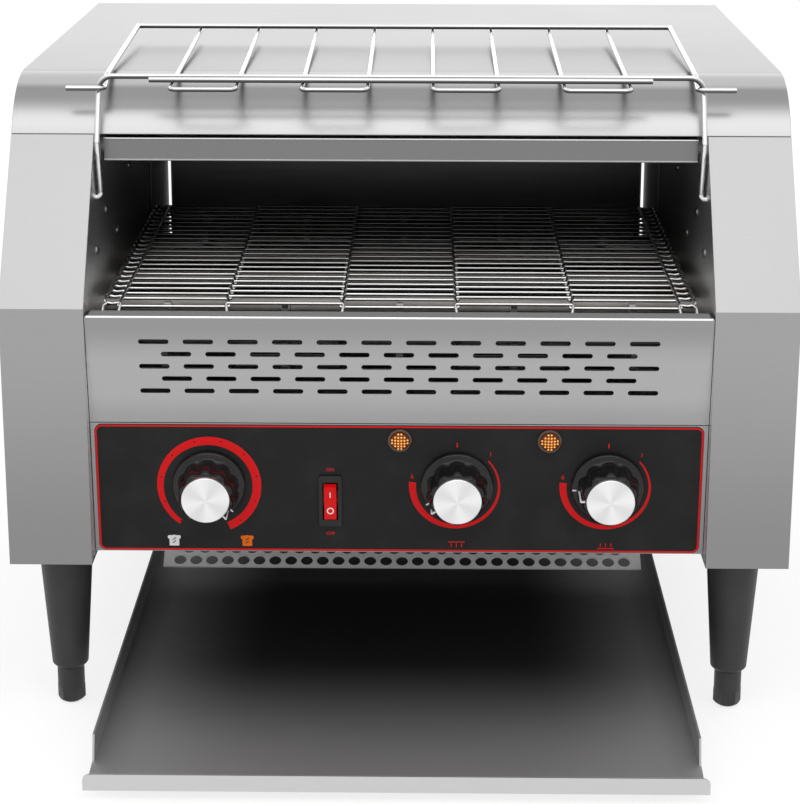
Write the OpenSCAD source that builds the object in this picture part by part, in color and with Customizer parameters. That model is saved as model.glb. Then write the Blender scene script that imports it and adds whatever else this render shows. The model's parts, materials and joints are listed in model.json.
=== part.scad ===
// Conveyor toaster. A flat-wire belt carries bread between two banks of quartz heaters and drops it
// down a chute behind the belt. A perforated slide brings the toast back out under the control panel,
// onto a tray. Lengths are in mm. X runs to the right, Y to the back and Z up.
// The origin is on the table, at the centre of the box that the toaster fills.

/* [Casing] */
// Width over both side housings
body_w = 470; // [450:1:500]
// Depth of the casing, from the front faces to the back
body_d = 437; // [430:1:460]
// Height of the casing's underside above the table
base_z = 103; // [96:0.5:110]
// Height of the casing, from its underside to the top cover
body_h = 283.4; // [270:0.2:300]
// Width of each side housing
side_w = 50; // [44:1:56]
// Thickness of the casing sheet
sheet = 1.2; // [0.8:0.1:1.5]
// Thickness of the inner side plates
frame_t = 1.5; // [1:0.1:2.5]
// Gap between pieces that are assembled together
fit = 0.3; // [0.2:0.05:0.4]
// Height above the casing's underside at which the housing fronts start to lean back
bend_h = 160; // [152:0.5:168]
// Distance of the top cover's front seam behind the housing fronts
seam_y = 65; // [60:0.5:70]
// Distance of the top cover's front seam below its top
seam_drop = 31.4; // [28:0.2:36]
// Radius of the top cover's rolled front
nose_r = 56; // [50:0.5:60]
// Depth of the fold at the back of the top cover
rear_fold = 12; // [8:1:18]

/* [Vent panel] */
// Distance of the vent panel's top edge below the bend in the housing fronts
vent_drop = 4.5; // [3:0.5:8]
// Distance of the vent panel's top edge behind the housing fronts
vent_y = 0.6; // [0.2:0.1:2]
// Length of the vent panel's face
vent_h = 68; // [62:0.5:74]
// Angle by which the vent panel tucks in towards its bottom edge
vent_lean = 6.9; // [5:0.1:8]
// Depth of the vent panel's top flange
vent_flange = 13; // [9:0.5:14]
// Length of a vent slot
slot_w = 18; // [12:0.5:20]
// Height of a vent slot
slot_h = 3; // [2:0.1:4]
// Distance between slots along a row
slot_pitch = 26.3; // [24:0.1:28]
// Distance between rows of slots
slot_row_pitch = 7.9; // [7:0.1:8.5]
// Distance of the first row of slots below the panel's top edge
slot_first = 15.8; // [12:0.1:18]

/* [Control panel] */
// Gap between the vent panel and the control panel
panel_gap = 0.5; // [0.3:0.1:1.5]
// Distance of the control panel's top edge behind the housing fronts
panel_y = 8; // [7:0.1:10]
// Height of the control panel's bottom edge above the casing's underside
panel_foot = 4; // [2:0.1:8]
// Angle by which the control panel tucks in towards its bottom edge
panel_lean = 3.4; // [2:0.1:5]
// Distance of the printed overlay's ends in from the control panel's
overlay_end = 2.4; // [1:0.1:8]
// Thickness of the printed overlay
overlay_t = 0.6; // [0.3:0.1:0.8]
// Corner radius of the printed overlay
overlay_r = 4.5; // [2:0.5:10]
// Depth of the housing behind the control panel
control_d = 210; // [190:1:212]
// Distance of the dials below the panel's top edge
dial_drop = 39.9; // [38:0.1:42]
// Place of the belt speed dial across the panel
speed_x = -114.3; // [-125:0.1:-105]
// Place of the upper heating dial across the panel
upper_x = 35; // [32:0.1:38]
// Place of the lower heating dial across the panel
lower_x = 125.6; // [122:0.1:132]
// Place of the belt drive switch across the panel
rocker_x = -41.3; // [-46:0.1:-36]
// Distance of the belt drive switch below the panel's top edge
rocker_drop = 49.4; // [46:0.1:54]
// Place of the upper heating lamp across the panel
upper_lamp_x = 0.6; // [-4:0.1:4]
// Place of the lower heating lamp across the panel
lower_lamp_x = 90.2; // [86:0.1:94]
// Distance of the lamps below the panel's top edge
lamp_drop = 9.6; // [9.4:0.1:13]

/* [Knobs] */
// Radius of a knob's skirt
skirt_r = 22; // [19:0.1:24]
// Height of a knob's skirt
skirt_h = 4; // [3:0.1:6]
// Radius of a knob's fluted grip
grip_r = 17.8; // [16:0.1:18.5]
// Distance from a knob's back to its front
knob_h = 22; // [18:0.5:26]
// Number of flutes round a knob
flutes = 10; // [8:1:14]
// Radius of a knob's metal cap
cap_r = 14.4; // [12:0.1:15]
// Height by which the metal cap stands out
cap_h = 2.6; // [1.5:0.1:4]
// Radius of a switch spindle
spindle_r = 3; // [2.5:0.1:3.2]

/* [Belt] */
// Diameter of the belt wire
wire_d = 2.4; // [2:0.1:2.6]
// Distance from one belt strand to the next
belt_pitch = 12; // [11.8:0.1:12.1]
// Number of strand seats round a belt wheel
belt_teeth = 12; // [11:1:12]
// Number of pitches between the two belt shafts
belt_span = 21; // [19:1:21]
// Distance of the belt's top run, at the middle of the wire, below the bend in the housing fronts
belt_drop = 4; // [3:0.5:8]
// Distance of the front shaft behind the housing fronts
front_shaft_y = 37.5; // [37:0.5:42]
// Distance of the belt's edges in from the inner side plates
belt_gap = 7.5; // [6:0.5:14]
// Width of the belt's inner columns
column_w = 68.6; // [60:0.2:72]
// Radius of the belt shafts
shaft_r = 5; // [4:0.1:6]
// Radial running clearance of shafts, pins and spindles
running = 0.08; // [0.05:0.01:0.1]

/* [Heaters] */
// Radius of a quartz heater tube
tube_r = 5; // [4:0.1:5.5]
// Number of heater tubes in each bank
tubes = 3; // [2:1:3]
// Distance between heater tubes
tube_pitch = 63; // [55:1:68]
// Distance of the lower heater bank below the belt's top run
lower_bank_drop = 19; // [15:0.5:21]
// Height of the upper heater box's front edge
fascia_h = 14; // [13:0.5:16]
// Distance of the upper heater box behind the housing fronts
fascia_y = 70; // [69:0.5:74]
// Distance of the upper heater box's top below the top cover
fascia_drop = 34.4; // [34.2:0.2:38]

/* [Toast return] */
// Distance of the toast slide's front edge behind the housing fronts
slide_y = 195; // [190:1:205]
// Height of the toast slide's front edge
slide_z = 24; // [22:0.5:28]
// Slope of the toast slide
slide_angle = 28; // [26:0.5:29]
// Distance of the toast slide's front corners in from the inner side plates
slide_in = 18; // [16:0.5:26]
// Radius of the holes in the toast slide
crumb_r = 4.2; // [3:0.1:4.5]
// Distance between the holes in the toast slide
crumb_pitch = 11.1; // [10:0.1:12]
// Number of rows of holes in the toast slide
crumb_rows = 8; // [4:1:12]
// Radius of the curve at the foot of the rear chute
chute_r = 45; // [35:1:50]
// Width of the air gaps between the rear chute and the side liners
air_gap = 3; // [2:0.5:6]
// Distance of the toast tray's sides in from the inner side plates
tray_in = 9.5; // [8.5:0.5:13]
// Height of the tray floor above the table
tray_z = 16; // [15:0.5:18]
// Height of the tray's side flanges
tray_flange = 15; // [12:0.5:16]
// Distance of the tray's front lip ahead of the housing fronts
tray_reach = 102; // [95:1:110]
// Depth of the tray's front lip
lip_h = 10; // [8:0.5:11]
// Distance by which the front lip stands out past each side of the tray
lip_out = 3.5; // [1:0.5:5]
// Distance from the tray's front lip to its rear edge
tray_l = 500; // [480:1:505]
// Length of the tray rails
rail_l = 135; // [110:1:140]

/* [Legs] */
// Distance of the legs in from the sides
leg_inset = 29; // [25:0.5:32]
// Distance of the legs in from the front and the back
leg_set = 32; // [28:0.5:36]
// Radius of a leg at the top
leg_top_r = 16.6; // [15:0.1:18]
// Radius of a leg at the bottom
leg_low_r = 11.2; // [10:0.1:12]
// Height by which a foot stands out of its leg
foot_h = 24; // [20:0.5:30]
// Radius of a foot's round collar
collar_r = 8.4; // [7.5:0.1:9]
// Width of a foot's hexagon over the flats
foot_af = 15; // [13:0.1:16]
// Radius of the levelling screw
stud_r = 4; // [3:0.1:4.5]

/* [Wire rack] */
// Diameter of the rack's frame wire
rack_d = 3.3; // [3:0.1:3.6]
// Diameter of the rack's long wires
long_d = 2.8; // [2.4:0.1:3]
// Distance of the rack's pivot behind the housing fronts
pivot_y = 66; // [64:0.5:68]
// Distance of the rack's pivot below the top cover
pivot_drop = 70.4; // [68:0.2:76]
// Distance of the rack's legs in from the inner side plates
leg_wire_in = 3; // [2.5:0.1:3.5]
// Distance of the rack's front bar behind the housing fronts
front_bar_y = 70; // [69:0.5:72]
// Height of the rack's front bar above the top cover
front_bar_rise = 2.9; // [2.8:0.1:5]
// Distance of the rack's rear bar behind the housing fronts
rear_bar_y = 236; // [220:1:250]
// Height of the rack's rear bar above the top cover
rear_bar_rise = 10.4; // [9.6:0.1:14]
// Distance of the rack's side bars in from the inner side plates
side_bar_in = 6.4; // [6.2:0.1:8]
// Distance between the long wires
long_pitch = 39; // [36:0.1:40]
// Distance of the long wires' looped ends behind the housing fronts
loop_y = 46; // [42:0.5:50]
// Distance of the rack's rest stubs' ends outside the inner side plates
stub_out = 16; // [10:0.5:22]

/* [Hidden] */
$fn = 48;

stainless = [0.78, 0.78, 0.77];
dark_steel = [0.16, 0.16, 0.17];
black = [0.08, 0.08, 0.09];

// Casing, worked out
top_z = base_z + body_h;
bend_z = base_z + bend_h;
seam_z = top_z - seam_drop;
gland_out = 14;
gland_r = 8;
gland_spot = [body_w / 2 - 30, base_z + 32];
vent_z = bend_z - vent_drop;
panel_z = vent_z - vent_h * cos(vent_lean) - panel_gap;
panel_h = (panel_z - base_z - panel_foot) / cos(panel_lean);
y_shift = (tray_reach - body_d - gland_out) / 2;
inner_x = body_w / 2 - side_w;
panel_w = 2 * (inner_x - fit);
rear_y = body_d - 2 * (sheet + fit);
gland_reach = gland_out + body_d - rear_y - sheet;
slope = atan2(seam_z - bend_z, seam_y);
nose_cz = top_z - nose_r;
nose_c = [seam_y + sqrt(pow(nose_r, 2) - pow(seam_z - nose_cz, 2)), nose_cz];
seam = [seam_y, seam_z];
seam_in = (nose_c - seam) / nose_r;
far = 4 * nose_r;

// Belt, worked out
belt_z = bend_z - belt_drop;
belt_w = 2 * (inner_x - belt_gap);
belt_r = belt_teeth * belt_pitch / (2 * PI);
belt_c = belt_span * belt_pitch;
belt_strands = 2 * belt_span + belt_teeth;
shaft_z = belt_z - belt_r;
rear_shaft_y = front_shaft_y + belt_c;
knot = 9;
knuckle = wire_d + 0.8;
column_edges = [-belt_w / 2, -1.5 * column_w, -column_w / 2, column_w / 2, 1.5 * column_w, belt_w / 2];
wheel_x = [for (i = [1 : len(column_edges) - 1]) (column_edges[i - 1] + column_edges[i]) / 2];
wheel_t = 4;
bush_r = shaft_r + 3;
bush_flange_r = shaft_r + 5.5;

// Chain drive, worked out
motor_y = front_shaft_y + 58;
motor_z = shaft_z - 88;
motor_shaft_r = 4;
chain_teeth = 12;
chain_r = 16;
chain_t = 4;
chain_w = 5;
chain_x = inner_x + 12;

// Panel fittings, worked out
bush_hole_r = 5;
bush_out = 2.4;
switch_back = 24;
rocker_w = 13.8;
rocker_h = 33;
rocker_body_w = 12;
rocker_body_h = 29.6;
rocker_axis_y = 1;
rocker_tilt = 9;
paddle_h = 22.6;
paddle_w = 8.8;
paddle_pin_r = 1.3;
lamp_r = 7.4;
lamp_body_r = 5;
housing_z = panel_z - panel_h * cos(panel_lean) + fit;
housing_floor_z = housing_z + sheet;

// Inside the control housing, worked out
block_y = 150;
block_d = 26;
block_h = 20;
pole_w = 14;
board_spot = [-150, 120];
board = [80, 60, 1.6];
standoff_h = 6;
motor_box_w = 22;
motor_box_h = 60;
motor_can_r = 26;
motor_can_l = 48;

// Heaters, worked out
fascia_z = top_z - fascia_drop;
lower_bank_z = belt_z - lower_bank_drop;
upper_bank_z = fascia_z - fascia_h + tube_r;
bank_y = front_shaft_y + belt_c / 2;
tube_ys = [for (i = [0 : tubes - 1]) bank_y + (i - (tubes - 1) / 2) * tube_pitch];
tube_half = inner_x + frame_t + 2;

// Toast return, worked out
tray_w = 2 * (inner_x - tray_in);
lip_w = tray_w + 2 * lip_out;
slide_w = 2 * (inner_x - slide_in);
chute_y = body_d - 12;
chute_cy = chute_y - chute_r;
chute_foot_y = chute_cy + chute_r * sin(slide_angle);
chute_foot_z = slide_z + (chute_foot_y - slide_y) * tan(slide_angle);
chute_cz = chute_foot_z + chute_r * cos(slide_angle);
chute_top_z = nose_cz + 14;
chute_top_w = panel_w - 2 * (sheet + air_gap);
air_z = belt_z - 62;
slide_l = (chute_foot_y - slide_y) / cos(slide_angle) - fit;
slide_wide_from = (base_z + 4 - slide_z) / sin(slide_angle);
rail_y = chute_y - rail_l;

// Legs, worked out
leg_spots = [for (side = [-1, 1], y = [leg_set, body_d - leg_set]) [side * (body_w / 2 - leg_inset), y]];

leg_bolt_z = base_z + sheet + fit + frame_t;
rail_lap = 3;

// Wire rack, worked out
pivot_z = top_z - pivot_drop;
front_bar_z = top_z + front_bar_rise;
rear_bar_z = top_z + rear_bar_rise;
leg_wire_x = inner_x - leg_wire_in;
side_bar_x = inner_x - side_bar_in;
stub_x = inner_x + stub_out;
rack_bend_r = 8.5;
stub_bend_r = 4;
kink = [front_bar_y - 13.5, front_bar_z - 37.3];
hook_r = 2.8;
loop_r = 4;
weld = 0.2;
stub_y = front_bar_y - rack_d - 2 * weld;
stub_z = front_bar_z - 6.8;
long_drop = (rack_d + long_d) / 2 - weld;
long_slope = atan2(rear_bar_z - front_bar_z, rear_bar_y - front_bar_y);

// ---- Shared shapes ----

// Moves a piece from the housing fronts to the middle of the toaster's floor area.
module placed() {
    translate([0, y_shift, 0]) children();
}

// Extrudes a section, drawn as [Y, Z], across the toaster.
module along_x(w) {
    rotate([90, 0, 90]) linear_extrude(w, center = true) children();
}

// Stands a drawing, made as [X, Z], upright with its face at Y = 0 and its thickness behind it.
module upright(t) {
    translate([0, t, 0]) rotate([90, 0, 0]) linear_extrude(t) children();
}

// Repeats a piece on the other side of the toaster.
module both_sides() {
    children();
    mirror([1, 0, 0]) children();
}

// A round bar between two points.
module rod(a, b, d) {
    v = b - a;
    translate(a) rotate([0, acos(v[2] / norm(v)), atan2(v[1], v[0])]) cylinder(h = norm(v), d = d);
}

// A round bar that lies across the toaster.
module cross_rod(x0, x1, y, z, r) {
    translate([x0, y, z]) rotate([0, 90, 0]) cylinder(h = x1 - x0, r = r);
}

// A rounded slot, drawn flat and centred.
module slot(w, h) {
    square([w - h, h], center = true);
    for (side = [-1, 1]) translate([side * (w - h) / 2, 0]) circle(d = h, $fn = 24);
}

// A rectangle with round corners, drawn flat and centred.
module rounded(w, h, r) {
    square([w - 2 * r, h], center = true);
    square([w, h - 2 * r], center = true);
    for (x = [-1, 1], y = [-1, 1]) translate([x * (w / 2 - r), y * (h / 2 - r)]) circle(r = r, $fn = 24);
}

// Puts a piece on the control panel: x across it and drop below its top edge, facing forward.
module on_panel(x = 0, drop = 0) {
    translate([0, panel_y, panel_z]) rotate([panel_lean, 0, 0]) translate([x, 0, -drop]) children();
}

// Turns a revolved piece so that its axis points forward out of the panel.
module facing_front() {
    rotate([90, 0, 0]) children();
}

// ---- Side section ----

// The toaster's outline from the side, drawn as [Y, Z], moved in by a distance.
module outline(inset) {
    bend_drop = inset * (1 - sin(slope)) / cos(slope);
    polygon([[inset, base_z + inset], [body_d - inset, base_z + inset], [body_d - inset, top_z - inset],
        [nose_c[0], top_z - inset], nose_c, seam + inset * seam_in, [inset, bend_z - bend_drop]]);
    intersection() {
        translate(nose_c) circle(r = nose_r - inset, $fn = 128);
        polygon([nose_c, nose_c - far * seam_in, nose_c + [-far, far], nose_c + [0, far]]);
    }
}

// The skin between the outline and a smaller copy of it.
module skin(thickness) {
    difference() {
        outline(0);
        outline(thickness);
    }
}

// The share of the section that belongs to the top cover, moved down the slope by a gap.
module cover_zone(gap = 0) {
    start = nose_c - gap * [cos(slope), sin(slope)];
    polygon([start, start - far * seam_in, nose_c + [-far, far], [body_d + far, top_z + far],
        [body_d + far, top_z - rear_fold - gap], [nose_c[0], top_z - rear_fold - gap]]);
}

// ---- Casing ----

module side_cover() {
    difference() {
        union() {
            translate([body_w / 2 - sheet / 2, 0, 0]) along_x(sheet) {
                outline(sheet + fit);
                difference() {
                    outline(0);
                    cover_zone(fit);
                }
            }
            translate([(inner_x + body_w / 2) / 2, 0, 0]) along_x(side_w) difference() {
                skin(sheet);
                cover_zone(fit);
                translate([rear_y, 0]) square([far, 2 * top_z]);
            }
        }
        for (spot = leg_spots) translate([spot[0], spot[1], base_z - 1])
            cylinder(h = sheet + 2, r = stud_r + fit);
    }
}

module right_side_cover() {
    color(stainless) placed() side_cover();
}

module left_side_cover() {
    color(stainless) placed() mirror([1, 0, 0]) side_cover();
}

module inner_frame() {
    flange_w = side_w - sheet - fit - frame_t - 6;
    outer_x = inner_x + frame_t + 1;
    difference() {
        union() {
            translate([inner_x + frame_t / 2, 0, 0]) along_x(frame_t) intersection() {
                outline(sheet + fit);
                square([rear_y - fit, 2 * top_z]);
            }
            translate([inner_x, 12, base_z + sheet + fit])
                cube([frame_t + flange_w, body_d - 24, frame_t]);
        }
        for (y = [front_shaft_y, rear_shaft_y]) cross_rod(inner_x - 1, outer_x, y, shaft_z, bush_r + running);
        for (y = tube_ys, z = [lower_bank_z, upper_bank_z])
            cross_rod(inner_x - 1, outer_x, y, z, tube_r + fit);
        cross_rod(inner_x - 1, outer_x, pivot_y, pivot_z, rack_d / 2 + running);
        for (spot = leg_spots) translate([spot[0], spot[1], base_z]) cylinder(h = 8, r = stud_r + fit);
    }
}

module right_inner_frame() {
    color(dark_steel) placed() difference() {
        inner_frame();
        cross_rod(inner_x - 1, inner_x + frame_t + 1, motor_y, motor_z, motor_shaft_r + 2);
    }
}

module left_inner_frame() {
    color(dark_steel) placed() mirror([1, 0, 0]) inner_frame();
}

module top_cover() {
    color(stainless) placed() along_x(body_w) intersection() {
        skin(sheet);
        cover_zone();
    }
}

module rear_panel() {
    low = base_z + fit;
    high = top_z - sheet - fit;
    vent_rows = 9;
    color(stainless) placed() translate([0, rear_y, 0]) upright(sheet) difference() {
        translate([-body_w / 2 + sheet + fit, low]) square([body_w - 2 * (sheet + fit), high - low]);
        for (side = [-1, 1], row = [0 : vent_rows - 1]) translate([side * 110, base_z + 130 + row * 12])
            slot(90, 4);
        for (side = [0, 1]) mirror([side, 0]) translate([chute_top_w / 2 + fit, air_z])
            square([air_gap + 1, chute_top_z - air_z]);
        translate(gland_spot) circle(r = gland_r + fit);
    }
}

module cable_gland() {
    place = [gland_spot[0], rear_y + sheet, gland_spot[1]];
    color(black) placed() translate(place) rotate([-90, 0, 0]) difference() {
        union() {
            translate([0, 0, -sheet - 6]) cylinder(h = sheet + 8, r = gland_r);
            cylinder(h = 5, r = 12, $fn = 6);
            translate([0, 0, 5]) cylinder(h = 6, r = 9.5);
            translate([0, 0, 11]) cylinder(h = gland_reach - 11, r1 = 9.5, r2 = 7);
        }
        translate([0, 0, -20]) cylinder(h = 50, r = 4.5);
    }
}

// ---- Front panels ----

module vent_panel() {
    rows = 5;
    color(stainless) placed() {
        translate([0, vent_y, vent_z]) rotate([vent_lean, 0, 0]) {
            upright(sheet) difference() {
                translate([-panel_w / 2, -vent_h]) square([panel_w, vent_h]);
                for (row = [0 : rows - 1], i = [0 : 11 - row % 2])
                    translate([(i - (11 - row % 2) / 2) * slot_pitch, -slot_first - row * slot_row_pitch])
                        slot(slot_w, slot_h);
            }
            translate([-panel_w / 2, 0, -vent_h]) cube([panel_w, 12, sheet]);
            for (x = [-panel_w / 2, panel_w / 2 - sheet]) translate([x, 0, -vent_h])
                cube([sheet, 12, vent_h - 3]);
        }
        translate([-panel_w / 2, vent_y, vent_z - sheet]) cube([panel_w, vent_flange, sheet]);
    }
}

// The holes that the switches, lamps and rocker need, drawn as [X, drop].
module panel_holes() {
    for (x = [speed_x, upper_x, lower_x]) translate([x, -dial_drop]) circle(r = bush_hole_r);
    for (x = [upper_lamp_x, lower_lamp_x]) translate([x, -lamp_drop]) circle(r = lamp_body_r + fit);
    translate([rocker_x, -rocker_drop])
        square([rocker_body_w + 2 * fit, rocker_body_h + 2 * fit], center = true);
}

module control_panel() {
    color(stainless) placed() on_panel() translate([0, overlay_t, 0]) {
        upright(sheet) difference() {
            translate([-panel_w / 2, -panel_h]) square([panel_w, panel_h]);
            panel_holes();
        }
        for (x = [-panel_w / 2, panel_w / 2 - sheet]) translate([x, 0, -panel_h + 3])
            cube([sheet, 12, panel_h - 7]);
    }
}

module panel_overlay() {
    margin = 0.8;
    color(black) placed() on_panel() upright(overlay_t) difference() {
        translate([0, -panel_h / 2]) rounded(panel_w - 2 * overlay_end, panel_h - 2 * margin, overlay_r);
        panel_holes();
    }
}

module control_housing() {
    front = panel_y + panel_h * sin(panel_lean) + overlay_t + sheet + fit;
    h = panel_z - 2 - housing_z;
    color(dark_steel) placed() along_x(panel_w) translate([front, housing_z]) difference() {
        square([control_d, h]);
        translate([-1, sheet]) square([control_d + 1 - sheet, h - 2 * sheet]);
    }
}

// ---- Heaters ----

module upper_heater_box() {
    box_d = belt_c - 24;
    tab_l = 40;
    color(stainless) placed() {
        along_x(2 * (leg_wire_x - rack_d / 2 - fit)) translate([fascia_y, fascia_z - fascia_h]) difference() {
            square([box_d, fascia_h]);
            translate([sheet, -1]) square([box_d - 2 * sheet, fascia_h + 1 - sheet]);
        }
        for (y = [fascia_y + 20, fascia_y + box_d - 20 - tab_l])
            translate([-panel_w / 2, y, fascia_z - sheet]) cube([panel_w, tab_l, sheet]);
    }
}

module heater_bank(z) {
    for (y = tube_ys) cross_rod(-tube_half, tube_half, y, z, tube_r);
}

module upper_heaters() {
    color([0.9, 0.87, 0.8]) placed() heater_bank(upper_bank_z);
}

module lower_heaters() {
    color([0.9, 0.87, 0.8]) placed() heater_bank(lower_bank_z);
}

module heater_end_caps() {
    color([0.93, 0.92, 0.88]) placed() both_sides() for (y = tube_ys, z = [lower_bank_z, upper_bank_z]) {
        cross_rod(tube_half + fit, tube_half + 9, y, z, tube_r + 1);
        cross_rod(tube_half + 9, tube_half + 15, y, z, 1.5);
    }
}

module lower_reflector() {
    trough_d = belt_c - 2 * belt_r - 26;
    wall_h = 9;
    floor_z = lower_bank_z - tube_r - 14;
    color(stainless) placed() along_x(panel_w) translate([bank_y - trough_d / 2, floor_z]) difference() {
        square([trough_d, wall_h]);
        translate([sheet, sheet]) square([trough_d - 2 * sheet, wall_h]);
    }
}

// ---- Toast return ----

module rear_chute() {
    color(stainless) placed() along_x(panel_w) translate([chute_cy, chute_cz]) {
        intersection() {
            difference() {
                circle(r = chute_r + sheet, $fn = 96);
                circle(r = chute_r, $fn = 96);
            }
            polygon([[0, 0], far * [sin(slide_angle), -cos(slide_angle)], [far, -far], [far, 0]]);
        }
        translate([chute_r, 0]) square([sheet, air_z - chute_cz]);
    }
    color(stainless) placed() translate([-chute_top_w / 2, chute_y, air_z])
        cube([chute_top_w, sheet, chute_top_z - air_z]);
}

module chute_guides() {
    low = chute_cz + 4;
    liner_y = rear_shaft_y + belt_r + 8;
    color(stainless) placed() both_sides() translate([panel_w / 2 - sheet, liner_y, low])
        cube([sheet, chute_y - fit - liner_y, chute_top_z - low]);
}

module toast_slide() {
    columns = floor((slide_w - 12) / crumb_pitch);
    row_pitch = crumb_pitch * 0.94;
    first_row = crumb_r + 2;
    wall_h = 12;
    color(stainless) placed() translate([0, slide_y, slide_z]) rotate([slide_angle, 0, 0]) {
        translate([0, 0, -sheet]) linear_extrude(sheet) difference() {
            union() {
                translate([-slide_w / 2, 0]) square([slide_w, slide_l]);
                translate([-panel_w / 2, slide_wide_from])
                    square([panel_w, slide_l - slide_wide_from]);
            }
            for (row = [0 : crumb_rows - 1], i = [0 : columns - 1 - row % 2])
                translate([(i - (columns - 1 - row % 2) / 2) * crumb_pitch, first_row + row * row_pitch])
                    circle(r = crumb_r, $fn = 24);
        }
        for (x = [-panel_w / 2, panel_w / 2 - sheet]) translate([x, slide_wide_from + 8, -sheet])
            cube([sheet, slide_l - slide_wide_from - 12, wall_h]);
    }
}

module tray_rails() {
    top = base_z;
    ledge_z = tray_z - sheet - fit;
    x = tray_w / 2 + fit;
    ledge_w = 9;
    color(stainless) placed() both_sides() {
        translate([x, rail_y, ledge_z - sheet]) cube([sheet, rail_l, top - ledge_z + sheet]);
        translate([x - ledge_w, rail_y, ledge_z - sheet]) cube([ledge_w + sheet, rail_l, sheet]);
        difference() {
            translate([x, rail_y, top - sheet]) cube([inner_x + rail_lap - x, rail_l, sheet]);
            for (spot = leg_spots) translate([spot[0], spot[1], top - 2 * sheet])
                cylinder(h = 3 * sheet, r = leg_top_r + fit);
        }
    }
}

module toast_tray() {
    front = -tray_reach;
    flare = 15;
    flange_from = front + 21;
    lip_r = 4;
    color(dark_steel) placed() {
        translate([0, 0, tray_z - sheet]) linear_extrude(sheet) polygon([[-lip_w / 2 + lip_r, front],
            [lip_w / 2 - lip_r, front], [tray_w / 2, front + flare], [tray_w / 2, front + tray_l],
            [-tray_w / 2, front + tray_l], [-tray_w / 2, front + flare]]);
        for (x = [-tray_w / 2 + sheet / 2, tray_w / 2 - sheet / 2]) translate([x, 0, 0]) along_x(sheet)
            polygon([[flange_from - 5, tray_z - sheet], [front + tray_l, tray_z - sheet],
                [front + tray_l, tray_z + tray_flange], [flange_from, tray_z + tray_flange]]);
        translate([0, front, 0]) upright(sheet) {
            translate([-lip_w / 2, tray_z - lip_h]) square([lip_w, lip_h - lip_r]);
            translate([-lip_w / 2 + lip_r, tray_z - lip_r]) square([lip_w - 2 * lip_r, lip_r]);
            for (side = [-1, 1]) translate([side * (lip_w / 2 - lip_r), tray_z - lip_r]) circle(r = lip_r);
        }
    }
}

// ---- Belt ----

// A point [Y, Z] on the belt's path, at a distance from the top of the front wheel.
function belt_at(s) =
    let (wrap = PI * belt_r, t = s % (2 * (belt_c + wrap)))
    t < belt_c ? [front_shaft_y + t, belt_z]
    : t < belt_c + wrap ? let (a = (t - belt_c) / belt_r * 180 / PI)
        [rear_shaft_y + belt_r * sin(a), shaft_z + belt_r * cos(a)]
    : t < 2 * belt_c + wrap ? [rear_shaft_y - (t - belt_c - wrap), shaft_z - belt_r]
    : let (a = (t - 2 * belt_c - wrap) / belt_r * 180 / PI)
        [front_shaft_y - belt_r * sin(a), shaft_z - belt_r * cos(a)];

function at_x(x, yz) = [x, yz[0], yz[1]];

// One strand: it steps by half a pitch from column to column and hooks towards the next at its ends.
// A pressed knuckle stands where it bends.
module belt_strand(s) {
    here = belt_at(s);
    step = belt_at(s + belt_pitch / 2);
    next = belt_at(s + belt_pitch);
    hook = next - (next - here) * (knuckle / 2 + fit) / norm(next - here);
    last = len(column_edges) - 1;
    bends = [for (i = [0 : last - 1], end = [0, 1])
        at_x(column_edges[i + end] + knot / 2 * (end == 0 && i > 0 ? 1 : end == 1 && i < last - 1 ? -1 : 0),
            i % 2 == 0 ? here : step)];
    path = concat([at_x(column_edges[0], hook)], bends, [at_x(column_edges[last], hook)]);
    for (i = [1 : len(path) - 1]) rod(path[i - 1], path[i], wire_d);
    turn = atan2(next[1] - here[1], next[0] - here[0]);
    for (i = [1 : len(path) - 2]) translate(path[i]) rotate([turn, 0, 0])
        cube(knuckle * [1, 1, 1], center = true);
}

// The strands along the top and round the rear wheels.
module belt_upper_run() {
    color([0.6, 0.6, 0.6]) placed()
        for (i = [0 : belt_strands / 2 - 1]) belt_strand(i * belt_pitch);
}

// The strands along the bottom and round the front wheels.
module belt_return_run() {
    color([0.6, 0.6, 0.6]) placed()
        for (i = [belt_strands / 2 : belt_strands - 1]) belt_strand(i * belt_pitch);
}

// A toothed wheel, drawn flat. Its teeth stop short of the wires or the chain.
module tooth_wheel(teeth, tip_r, bore_r) {
    root_r = tip_r * 0.78;
    tooth_w = 2 * PI * tip_r / teeth * 0.3;
    tip = sqrt(pow(tip_r, 2) - pow(tooth_w / 2, 2));
    difference() {
        union() {
            circle(r = root_r);
            for (i = [0 : teeth - 1]) rotate(i * 360 / teeth)
                polygon([[0, -tooth_w], [root_r, -tooth_w], [tip, -tooth_w / 2],
                    [tip, tooth_w / 2], [root_r, tooth_w], [0, tooth_w]]);
        }
        circle(r = bore_r);
    }
}

module belt_wheels(y) {
    tip_r = belt_r - wire_d / 2 - fit;
    for (x = wheel_x) translate([x, y, shaft_z]) along_x(wheel_t) rotate(180 / belt_teeth)
        tooth_wheel(belt_teeth, tip_r, shaft_r + running / 2);
}

module drive_shaft() {
    color(stainless) placed() cross_rod(-inner_x - 8, chain_x + chain_w + 3, front_shaft_y, shaft_z, shaft_r);
}

module idler_shaft() {
    color(stainless) placed() cross_rod(-inner_x - 8, inner_x + 8, rear_shaft_y, shaft_z, shaft_r);
}

module drive_wheels() {
    color(stainless) placed() belt_wheels(front_shaft_y);
}

module idler_wheels() {
    color(stainless) placed() belt_wheels(rear_shaft_y);
}

module shaft_bushes() {
    flange_t = 1.4;
    color([0.72, 0.56, 0.28]) placed() both_sides() for (y = [front_shaft_y, rear_shaft_y]) difference() {
        union() {
            cross_rod(inner_x - flange_t, inner_x, y, shaft_z, bush_flange_r);
            cross_rod(inner_x, inner_x + frame_t + 3, y, shaft_z, bush_r);
        }
        cross_rod(inner_x - 9, inner_x + 9, y, shaft_z, shaft_r + running);
    }
}

// ---- Chain drive ----

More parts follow.
